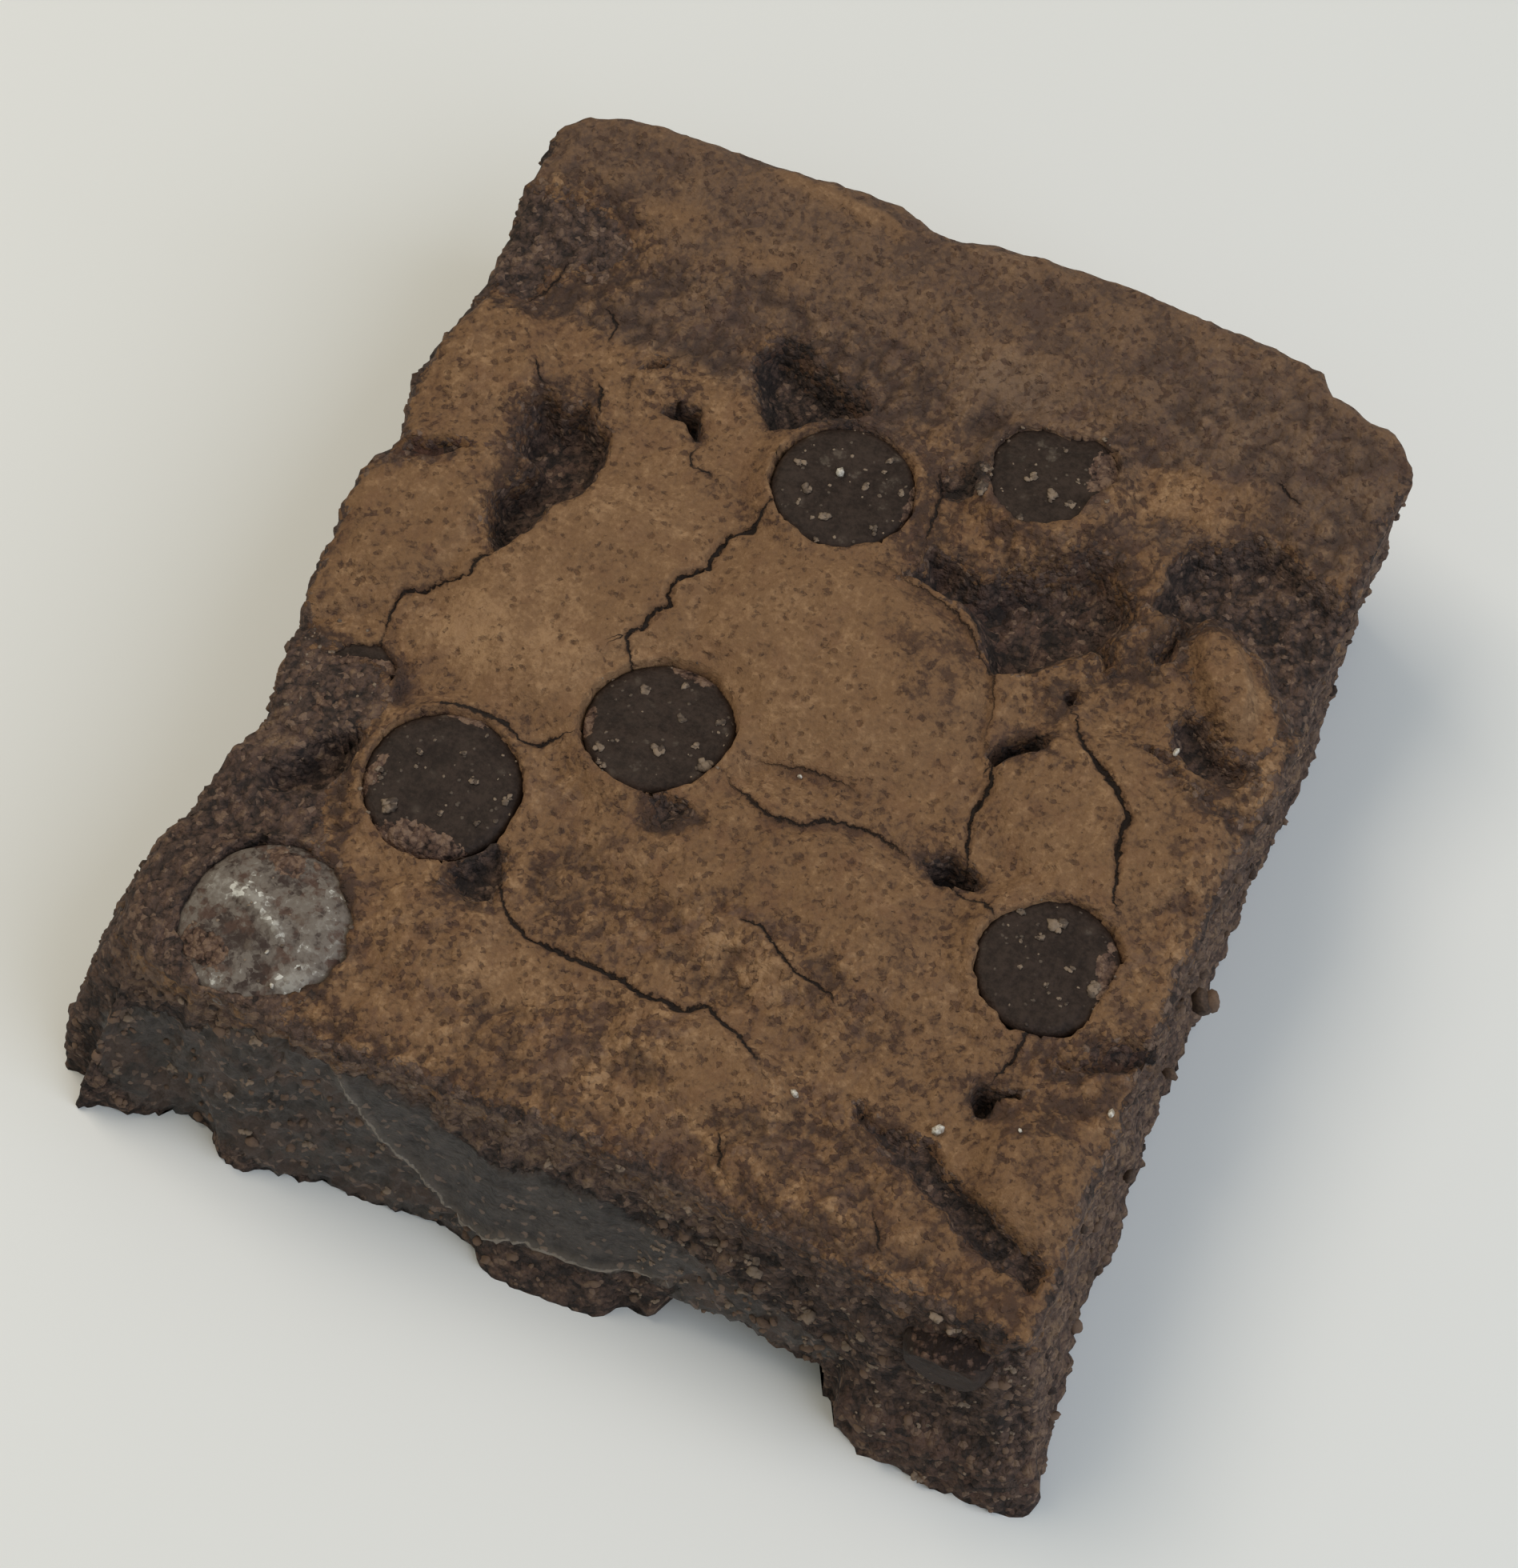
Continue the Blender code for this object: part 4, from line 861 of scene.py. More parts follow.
def chip(number, material):
    """One whole chip, its flat base up."""
    radius = CHIPS[number - 1][1]
    angles = np.arange(CHIP_SIDES) * 2 * math.pi / CHIP_SIDES
    points = [np.array([[0, 0, 0.0]])]
    for share, depth in CHIP_OUTLINE:
        ring = np.stack([np.cos(angles) * share, np.sin(angles) * share, 0 * angles - depth * CHIP_HEIGHT], axis=1)
        points.append(ring * radius)
    points.append(np.array([[0, 0, -CHIP_HEIGHT * radius]]))
    points = np.concatenate(points)
    place = points + 40.0 * number
    around = np.stack([points[:, 0] / radius, points[:, 1] / radius, 0 * points[:, 0] + 3.0 * number], axis=1)
    points[:, :2] *= (1 + 0.020 * lumps(around, 0.9, 2, 71))[:, None]
    upper = smooth((points[:, 2] + 0.2 * radius) / (0.15 * radius))
    points[:, 2] += upper * (0.10 * lumps(place, 3.4, 2, 72) + 0.03 * lumps(place, 1.1, 2, 73))
    coat = np.full(len(points), -1.0)
    for owner, centre, half, turn, soft in COATS:
        if owner == number:
            coat = np.maximum(coat, 2 * ellipse(points[:, 0], points[:, 1], centre, half, turn, soft) - 1)
    if number == 7:
        coat = np.maximum(coat, smooth((2.6 - points[:, 1] + points[:, 0] * 0.2) / 1.0) * 2 - 1)
    frost = np.zeros(len(points))
    if number == 6:
        out = np.hypot(points[:, 0], points[:, 1]) / radius
        points[:, 2] += upper * 1.0 * (1 - out ** 2)
        # The frost value is the bloom's grey and a painted sheen across the dome.
        for centre, half, turn, soft, light in BLOOM_AND_SHEEN:
            frost += light * ellipse(points[:, 0], points[:, 1], centre, half, turn, soft)
        points[:, 2] += upper * (0.22 * frost + 0.16 * boulders(place, 1.4, 76)[0])
    coat += 0.9 * lumps(place, 1.0, 2, 74) * (coat > -1)
    caked = smooth(coat * 1.5 + 0.4) * upper
    points[:, 2] += caked * (0.12 + 0.5 * crumb_relief(place, 75)[0])
    spread = np.array(chip_place(number).to_3x3())
    points = points @ spread.T + np.array(chip_place(number).translation)

    faces = []
    rings = len(CHIP_OUTLINE)
    k = np.arange(CHIP_SIDES)
    n = (k + 1) % CHIP_SIDES
    faces += np.stack([0 * k, 1 + k, 1 + n], axis=1).tolist()
    for ring in range(rings - 1):
        a, b = 1 + ring * CHIP_SIDES, 1 + (ring + 1) * CHIP_SIDES
        faces += np.stack([a + k, b + k, b + n, a + n], axis=1).tolist()
    last = 1 + (rings - 1) * CHIP_SIDES
    faces += np.stack([last + k, 0 * k + len(points) - 1, last + n], axis=1).tolist()
    return make_mesh(f"chip_{number}_dressed", points, faces, {"coat": coat, "frost": frost}, material)


def cut_chip(material):
    """The chip on its side that the knife went through, its cut face flush with the front."""
    columns, rows = 64, 32
    points = []
    for r in range(1, rows):
        a = math.pi * r / rows
        angles = np.arange(columns) * 2 * math.pi / columns
        ring = np.stack([np.cos(angles) * math.sin(a), 0 * angles - math.cos(a), np.sin(angles) * math.sin(a)],
                        axis=1)
        points.append(ring)
    points = np.concatenate([[[0, -1.0, 0]]] + points + [[[0, 1.0, 0]]]) * CUT_CHIP_RADIUS
    points *= (1 + 0.05 * lumps(points, 2.5, 2, 81))[:, None]
    points += CUT_CHIP_CENTRE
    face = CUT_CHIP_FACE + 0.12 * lumps(points, 1.6, 2, 82)
    points[:, 1] = np.maximum(points[:, 1], face)
    k = np.arange(columns)
    n = (k + 1) % columns
    faces = np.stack([0 * k, 1 + k, 1 + n], axis=1).tolist()
    for ring in range(rows - 2):
        a, b = 1 + ring * columns, 1 + (ring + 1) * columns
        faces += np.stack([a + k, b + k, b + n, a + n], axis=1).tolist()
    last = 1 + (rows - 2) * columns
    faces += np.stack([last + k, 0 * k + len(points) - 1, last + n], axis=1).tolist()
    above = points[:, 2] - CUT_CHIP_CENTRE[2]
    points[:, 2] -= 0.45 * np.maximum(0, above)
    coat = np.clip((above - 1.6) / 0.8 + 1.2 * lumps(points, 1.6, 2, 83), -1, 1)
    return make_mesh("chip_cut_dressed", points, faces, {"coat": coat, "frost": 0 * coat - 0.6}, material)


# ---------------------------------------------------------------- Crumbs and crystals

# Crumbs that stand out on the chips and the crust: place on the plan, size across
CHIP_CRUMBS = (
    (6.4, 21.2, 1.2), (5.9, 22.8, 0.8), (10.9, 22.4, 1.2), (9.1, 23.4, 0.9), (12.6, 22.6, 0.7), (9.7, 20.1, 0.6),
    (-2.1, -6.6, 1.2), (-9.2, -8.2, 1.1), (-8.2, -9.5, 0.8), (-5.4, -6.8, 0.9), (-6.0, -1.6, 0.7),
    (-5.0, -4.0, 0.7), (-2.4, -3.2, 0.8), (-7.9, -3.0, 0.7), (-3.3, -5.5, 0.8), (-4.2, -8.3, 0.6),
    (-20.0, -18.2, 1.4), (-17.8, -18.8, 1.3), (-15.7, -14.3, 0.8), (-19.6, -13.9, 0.7), (-12.9, -14.5, 0.8),
    (-21.5, -16.2, 0.7), (-16.6, -17.4, 0.6), (-14.2, -17.2, 0.7), (-17.2, -12.4, 0.5),
    (24.5, -7.9, 1.3), (23.2, -9.3, 0.7), (26.0, -10.7, 0.7), (28.0, -11.2, 1.2), (26.3, -13.0, 1.2),
    (21.7, -7.9, 0.7), (27.6, -9.4, 0.6), (24.9, -12.4, 0.5),
    (-4.5, 16.2, 0.8), (-1.2, 18.0, 0.7), (0.8, 15.2, 0.7), (-2.6, 14.4, 0.8), (-5.8, 17.8, 0.7), (1.2, 18.6, 0.6),
    (-0.4, 20.6, 0.6), (-5.0, 14.8, 0.6),
)

# Light crumbs on the front face: along X, up, size across
FACE_CRUMBS = (
    (0.2, 14.6, 0.9), (-20.8, 15.9, 0.8), (-26.6, 15.8, 0.8), (-30.9, 10.3, 0.9), (-29.2, 12.0, 0.7),
    (-21.3, 11.4, 0.9), (-23.0, 8.6, 0.7), (-28.0, 5.9, 0.8), (-21.9, 4.7, 0.8), (-17.3, 5.2, 0.9),
    (-32.0, 4.6, 0.8), (-12.4, 7.8, 0.7), (-11.5, 2.6, 0.8), (12.0, 12.8, 1.2), (14.6, 13.6, 1.3),
    (15.3, 12.5, 1.3), (14.6, 9.6, 1.1), (8.2, 14.0, 0.9), (10.2, 16.2, 0.9), (5.2, 17.0, 0.8), (19.2, 10.4, 1.2),
    (18.3, 10.8, 0.7), (23.1, 11.4, 0.9), (24.2, 8.8, 1.2), (22.0, 8.5, 0.8), (30.7, 8.8, 0.8), (27.4, 10.3, 0.6),
    (27.6, 17.4, 0.8), (29.0, 17.0, 0.9), (33.1, 14.2, 0.9), (32.2, 12.6, 0.6), (13.5, 6.4, 0.7), (28.9, 0.7, 1.0),
    (-2.0, 8.0, 0.4), (0.9, 9.6, 0.5), (-9.8, 17.2, 0.7),
)
CRYSTALS = ((22.6, -24.7, 1.0), (13.4, -25.9, 0.6), (32.6, -19.2, 0.6), (4.1, -4.5, 0.4), (26.3, 7.5, 0.7),
            (-3.2, 18.3, 0.9), (-20.8, -33.2, 0.5), (-22.3, -31.3, 0.4), (27.2, -22.4, 0.4))
SIDE_CRUMBS = ((35.2, -7.2, 15.0, 1.7), (34.5, -7.4, 14.8, 1.6), (34.5, -12.8, 14.0, 0.9), (34.7, -20.2, 13.0, 1.0))


def sphere(levels):
    """A unit sphere from an icosahedron cut finer a few times: points and triangles."""
    made = bpy.data.meshes.new("ball")
    import bmesh
    shape = bmesh.new()
    bmesh.ops.create_icosphere(shape, subdivisions=levels, radius=1.0)
    points = np.array([v.co for v in shape.verts])
    faces = np.array([[v.index for v in f.verts] for f in shape.faces])
    shape.free()
    bpy.data.meshes.remove(made)
    return points, faces


def grain_piece(name, places, sizes, material, levels, rough, flat, seed):
    """Many small lumps as one mesh: their centres, how far across each is, how uneven and how flat."""
    draw = np.random.default_rng(seed)
    ball, triangles = sphere(levels)
    points, faces, shades = [], [], []
    for i, (place, size) in enumerate(zip(places, sizes)):
        around = ball * 1.8 + draw.uniform(-50, 50, 3)
        shape = ball * (1 + rough * lumps(around, 0.9, 2, seed))[:, None]
        shape = shape * draw.uniform(0.6, 1.25, 3) * (1, 1, flat)
        turn = np.array(Matrix.Rotation(draw.uniform(0, 6.28), 3, Vector(draw.normal(size=3)).normalized()))
        if flat < 1:
            turn = np.array(Matrix.Rotation(draw.uniform(0, 6.28), 3, "Z"))
        points.append(shape @ turn.T * (size / 2) + place)
        faces.append(triangles + i * len(ball))
        # Painted light: crumbs on the front face are made lighter, to make up for the dimmer light there.
        shades.append(np.full(len(ball), draw.uniform(0, 1) + (0.5 if place[1] < -36 else 0)))
    return make_mesh(name, np.concatenate(points), np.concatenate(faces).tolist(),
                     {"shade": np.concatenate(shades)}, material)


def clusters(places, sizes, seed):
    """Each crumb as a few smaller grains lying together: their centres and sizes."""
    draw = np.random.default_rng(seed)
    spots, across = [], []
    for place, size in zip(places, sizes):
        for _ in range(1 if size < 0.35 else draw.integers(5, 10)):
            offset = draw.normal(size=3) * (0.17, 0.17, 0.01) * size if size >= 0.35 else 0.0
            spots.append(place + offset)
            across.append(size * draw.uniform(0.25, 0.7) if size >= 0.35 else size)
    return spots, across


def top_finder(pieces):
    """A search tree over the points of the top surfaces, by where the camera's line of sight lays them."""
    points = np.concatenate(pieces)
    px, py = lay(*points.T)
    tree = kdtree.KDTree(len(points))
    for i, (a, b) in enumerate(zip(px, py)):
        tree.insert((a, b, 0), i)
    tree.balance()

    def find(a, b):
        near = tree.find_n((a, b, 0), 4)
        return max((points[i] for _, i, _ in near), key=lambda p: p[2])

    return find


def object_points(piece):
    """A piece's points in plan millimetres."""
    flat = np.zeros(len(piece.data.vertices) * 3, np.float32)
    piece.data.vertices.foreach_get("co", flat)
    return flat.reshape(-1, 3).astype(float) / MM - PLAN_ORIGIN


# ---------------------------------------------------------------- Materials

def srgb(red, green, blue):
    """A colour as it should look, from 0 to 255 for each part, made into the shader's own scale."""
    def part(value):
        value = value / 255
        return value / 12.92 if value <= 0.04045 else ((value + 0.055) / 1.055) ** 2.4
    return (part(red), part(green), part(blue), 1.0)


class Shader:
    """One material's nodes, with sizes in millimetres."""

    def __init__(self, name):
        self.made = bpy.data.materials.new(name)
        self.made.use_nodes = True
        self.tree = self.made.node_tree
        self.surface = self.tree.nodes["Principled BSDF"]
        self.place = self.tree.nodes.new("ShaderNodeTexCoord").outputs["Object"]

    def node(self, kind, **settings):
        made = self.tree.nodes.new(kind)
        for key, value in settings.items():
            setattr(made, key, value)
        return made

    def give(self, socket, value):
        """Links a socket, or sets a plain number or colour on it."""
        if isinstance(value, bpy.types.NodeSocket):
            self.tree.links.new(value, socket)
        else:
            socket.default_value = value

    def value(self, name):
        return self.node("ShaderNodeAttribute", attribute_name=name).outputs["Fac"]

    def noise(self, size, detail=2.0, roughness=0.5, stretch=(1, 1, 1)):
        place = self.node("ShaderNodeMapping")
        self.give(place.inputs["Vector"], self.place)
        place.inputs["Scale"].default_value = stretch
        made = self.node("ShaderNodeTexNoise")
        self.give(made.inputs["Vector"], place.outputs["Vector"])
        made.inputs["Scale"].default_value = 1 / (size * MM)
        made.inputs["Detail"].default_value = detail
        made.inputs["Roughness"].default_value = roughness
        return made.outputs["Fac"]

    def spots(self, size, feature="F1"):
        made = self.node("ShaderNodeTexVoronoi", feature=feature)
        self.give(made.inputs["Vector"], self.place)
        made.inputs["Scale"].default_value = 1 / (size * MM)
        return made.outputs["Distance"]

    def cells(self, size, stray=0.5):
        """Irregular grains: a number from 0 to 1 that each has of its own, and how far its centre is."""
        bend = self.node("ShaderNodeTexNoise")
        self.give(bend.inputs["Vector"], self.place)
        bend.inputs["Scale"].default_value = 1 / (0.8 * size * MM)
        moved = self.node("ShaderNodeVectorMath", operation="MULTIPLY_ADD")
        self.give(moved.inputs[0], bend.outputs["Color"])
        moved.inputs[1].default_value = (stray * size * MM,) * 3
        self.give(moved.inputs[2], self.place)
        made = self.node("ShaderNodeTexVoronoi", feature="F1")
        self.give(made.inputs["Vector"], moved.outputs[0])
        made.inputs["Scale"].default_value = 1 / (size * MM)
        parts = self.node("ShaderNodeSeparateColor")
        self.give(parts.inputs[0], made.outputs["Color"])
        return parts.outputs[0], made.outputs["Distance"]

    def math(self, operation, a, b=0.0, clamp=False):
        made = self.node("ShaderNodeMath", operation=operation, use_clamp=clamp)
        self.give(made.inputs[0], a)
        self.give(made.inputs[1], b)
        return made.outputs[0]

    def step(self, value, low, high):
        """0 where the value is at low, 1 at high, and smooth between; low may be above high."""
        made = self.node("ShaderNodeMapRange", interpolation_type="SMOOTHSTEP")
        self.give(made.inputs["Value"], value)
        flip = low > high
        made.inputs["From Min"].default_value = high if flip else low
        made.inputs["From Max"].default_value = low if flip else high
        made.inputs["To Min"].default_value = 1.0 if flip else 0.0
        made.inputs["To Max"].default_value = 0.0 if flip else 1.0
        return made.outputs["Result"]

    def blend(self, share, a, b):
        made = self.node("ShaderNodeMix", data_type="RGBA")
        self.give(made.inputs[0], share)
        self.give(made.inputs[6], a)
        self.give(made.inputs[7], b)
        return made.outputs[2]

    def total(self, *terms):
        """The sum of (value, factor) terms."""
        sum_so_far = 0.0
        for value, factor in terms:
            made = self.node("ShaderNodeMath", operation="MULTIPLY_ADD")
            self.give(made.inputs[0], value)
            made.inputs[1].default_value = factor
            self.give(made.inputs[2], sum_so_far)
            sum_so_far = made.outputs[0]
        return sum_so_far

    def bump(self, height, strength=1.0):
        """Relief from a height in millimetres."""
        made = self.node("ShaderNodeBump")
        made.inputs["Strength"].default_value = strength
        made.inputs["Distance"].default_value = MM
        self.give(made.inputs["Height"], height)
        self.give(self.surface.inputs["Normal"], made.outputs["Normal"])


CRUST_DARK = srgb(80, 57, 43)
CRUST_MIDDLE = srgb(124, 92, 64)
CRUST_LIGHT = srgb(158, 123, 90)
CRUST_PURPLE = srgb(98, 79, 68)
CRUST_ORANGE = srgb(116, 82, 50)
CRUST_RED = srgb(108, 74, 54)
CRUST_DUSKY = srgb(88, 66, 58)
PORE = srgb(92, 62, 43)
PIT_RED = srgb(78, 54, 42)
# The colour of the painted shade in the crevices between the crust's knobs
CREVICE_SHADE_BROWN = srgb(62, 46, 39)
# The crumb's darkest colour, which also paints the shade between its grains
CRUMB_DARK = srgb(42, 33, 30)
CRUMB_MIDDLE = srgb(94, 73, 63)
CRUMB_LIGHT = srgb(126, 102, 86)
CRUMB_RED = srgb(92, 62, 50)
CRUMB_TAN = srgb(128, 102, 80)
CHOCOLATE = srgb(40, 31, 27)
CHOCOLATE_LIGHT = srgb(61, 49, 43)
SMUDGE = srgb(108, 95, 84)
BLOOM_DARK = srgb(62, 50, 46)
BLOOM_GREY = srgb(116, 106, 98)
BLOOM_RED = srgb(92, 68, 58)
# The lightest bloom colours also paint the sheen and glints on chip 6
BLOOM_AND_SHEEN_LIGHT = srgb(152, 145, 137)
BLOOM_AND_GLINT_WHITE = srgb(206, 202, 194)
FILM_GREY = srgb(72, 65, 60)
FILM_DARK = srgb(42, 36, 33)
FILM_BROWN = srgb(78, 60, 51)
# The colour of the painted highlight on the smear's lip
LIP_HIGHLIGHT = srgb(146, 134, 122)
# The colour of the painted shade inside cracks and creases
CRACK_SHADE_DARK = srgb(33, 22, 16)
CRACK_BROWN = srgb(74, 50, 35)


def crumb_material():
    """Crust, broken crumb, cracks and the smeared film, told apart by the body's values."""
    s = Shader("brownie_crumb")
    tone, warm, rough = s.value("tone"), s.value("warm"), s.value("rough")
    bare, crevice_shade, film, relief_shade = s.value("bare"), s.value("crevice_shade"), s.value("film"), s.value("relief_shade")
    broad, middle = s.noise(6.0, 3.0, 0.55), s.noise(1.6, 3.0, 0.6)
    fine, grain = s.noise(0.55, 3.0, 0.6), s.noise(0.30, 3.0, 0.7)
    crumb_kind, crumb_far = s.cells(0.75)
    sand_kind, sand_far = s.cells(0.40)

    # Baked crust: light to dark by tone and by painted shade and light of its relief, darker in hollows and lighter on
    # knobs, mottled, then tinted
    light = s.total((tone, 0.55), (relief_shade, 1.1), (broad, 2.0), (middle, 2.0), (fine, 2.2), (grain, 2.0), (1.0, -4.1))
    sandy = s.total((sand_kind, 1.3), (crumb_kind, 1.0), (sand_far, -0.9), (1.0, -0.75))
    light = s.math("ADD", light, s.math("MULTIPLY", s.math("ADD", rough, 0.30), sandy))
    crust = s.blend(s.step(light, -1.5, 0.1), CRUST_DARK, CRUST_MIDDLE)
    crust = s.blend(s.step(light, 0.0, 1.7), crust, CRUST_LIGHT)
    crust = s.blend(s.math("MULTIPLY", s.step(warm, 0.0, -1.0), 0.75), crust, CRUST_PURPLE)
    crust = s.blend(s.math("MULTIPLY", s.step(warm, 0.0, 1.0), 0.5), crust, CRUST_ORANGE)
    blush = s.math("MULTIPLY", s.step(s.noise(2.2, 3.0, 0.6), 0.50, 0.64), s.step(warm, -0.5, 0.5))
    crust = s.blend(s.math("MULTIPLY", blush, 0.40), crust, CRUST_RED)
    dusky = s.math("MULTIPLY", s.step(s.noise(2.8, 4.0, 0.65), 0.47, 0.38), s.step(rough, 0.2, 0.8))
    crust = s.blend(s.math("MULTIPLY", dusky, 0.55), crust, CRUST_DUSKY)
    pores = s.math("MULTIPLY", s.step(s.total((s.spots(0.95), 1.0), (grain, 0.6)), 0.60, 0.36),
                   s.step(s.noise(2.4, 2.0), 0.40, 0.56))
    crust = s.blend(s.math("MULTIPLY", pores, 0.55), crust, PORE)
    pits = s.step(s.total((sand_kind, 1.0), (fine, 0.8), (rough, -0.22)), 0.44, 0.26)
    crust = s.blend(s.math("MULTIPLY", pits, 0.6), crust, PIT_RED)
    # Painted shade in the crevices between the crust's knobs
    crust = s.blend(s.math("MULTIPLY", s.step(crevice_shade, 0.25, 0.95), 0.75), crust, CREVICE_SHADE_BROWN)

    # Broken crumb: painted shade between the grains and in hollows and painted light on raised grains, each grain a
    # little lighter or redder
    inner = s.total((tone, 0.40), (relief_shade, 0.9), (fine, 0.9), (grain, 1.0), (crumb_kind, 0.9), (sand_kind, 0.9),
                    (crumb_far, -0.8), (sand_far, -0.7), (1.0, -0.58))
    crumb = s.blend(s.step(inner, -0.7, 1.2), CRUMB_DARK, CRUMB_MIDDLE)
    crumb = s.blend(s.math("MULTIPLY", s.step(warm, 0.0, 1.2), s.step(crumb_kind, 0.3, 0.9)), crumb, CRUMB_RED)
    crumb = s.blend(s.step(inner, 0.7, 2.3), crumb, CRUMB_TAN)
    flecks = s.math("MULTIPLY", s.step(sand_kind, 0.90, 0.96), s.step(inner, -0.1, 0.8))
    crumb = s.blend(s.math("MULTIPLY", flecks, 0.8), crumb, CRUMB_LIGHT)

    edge = s.total((bare, 1.0), (crumb_kind, 0.8), (sand_kind, 0.6), (fine, 0.6), (relief_shade, -0.2), (1.0, -0.95))
    shown = s.step(edge, 0.32, 0.46)
    colour = s.blend(shown, crust, crumb)
    smeared = s.step(s.total((film, 1.0), (fine, 0.9), (middle, 1.2)), 0.9, 1.5)
    pressed = s.value("pressed")
    loose = s.step(pressed, 0.95, 0.05)
    clouds = s.total((broad, 0.8), (middle, 1.2), (fine, 0.8), (sand_kind, 0.12))
    smear = s.blend(s.step(clouds, 1.15, 1.75), FILM_DARK, FILM_GREY)
    browned = s.math("MULTIPLY", s.step(s.noise(2.6, 3.0, 0.6), 0.46, 0.60), loose)
    smear = s.blend(s.math("MULTIPLY", browned, 0.7), smear, FILM_BROWN)
    specks = s.step(s.total((sand_kind, 1.0), (loose, 0.06)), 0.90, 0.98)
    smear = s.blend(s.math("MULTIPLY", specks, 0.6), smear, CRUMB_LIGHT)
    # Painted highlight along the ridge of the smear's lip, with a softer painted glow beside it
    lip_away = s.math("ABSOLUTE", s.total((s.value("lip"), 1.0), (fine, 0.5), (1.0, -0.25)))
    lip_on = s.step(s.value("lip_half"), 0.01, 0.06)
    smear = s.blend(s.math("MULTIPLY", s.math("MULTIPLY", s.step(lip_away, 0.9, 0.1), lip_on), 0.22), smear,
                    LIP_HIGHLIGHT)
    ridge = s.math("MULTIPLY", s.step(s.math("SUBTRACT", lip_away, s.value("lip_half")), 0.10, -0.04), lip_on)
    smear = s.blend(s.math("MULTIPLY", ridge, 0.85), smear, LIP_HIGHLIGHT)
    colour = s.blend(s.math("MULTIPLY", smeared, 0.9), colour, smear)

    # Painted shade: a dark line along each crack and crease, and beside it a brown band that is partly the crumb's own
    # colour and partly painted shade
    wander = s.total((s.value("crack"), 1.0), (fine, 0.5), (grain, 0.3), (1.0, -0.4))
    away = s.math("SUBTRACT", s.math("ABSOLUTE", wander), s.value("crack_half"))
    line = s.math("MULTIPLY", s.step(away, 0.07, -0.05), s.step(s.value("crack_half"), 0.01, 0.04))
    halo = s.math("MULTIPLY", s.step(away, 0.30, 0.0), s.step(s.value("crack_half"), 0.01, 0.04))
    colour = s.blend(s.math("MULTIPLY", halo, 0.6), colour, CRACK_BROWN)
    colour = s.blend(line, colour, CRACK_SHADE_DARK)
    s.give(s.surface.inputs["Base Color"], colour)

    satin = s.blend(smeared, (0.82, 0.82, 0.82, 1), (0.50, 0.50, 0.50, 1))
    s.give(s.surface.inputs["Roughness"], s.math("ADD", satin, s.math("MULTIPLY", fine, 0.08)))
    s.surface.inputs["Specular IOR Level"].default_value = 0.35
    knobbly = s.math("MULTIPLY", s.math("MAXIMUM", shown, rough), s.total((crumb_far, -0.30), (sand_far, -0.16)))
    height = s.total((fine, 0.18), (grain, 0.12), (knobbly, 1.0), (s.math("MULTIPLY", shown, fine), 0.25),
                     (pores, -0.10), (line, -0.25), (pits, -0.12))
    bumpy = s.math("SUBTRACT", 1.0, s.math("MULTIPLY", smeared, 0.8))
    pasty = s.math("MULTIPLY", smeared, s.total((middle, 0.5), (specks, 0.08), (ridge, 0.12)))
    s.bump(s.math("ADD", s.math("MULTIPLY", height, bumpy), pasty), 1.0)
    return s.made


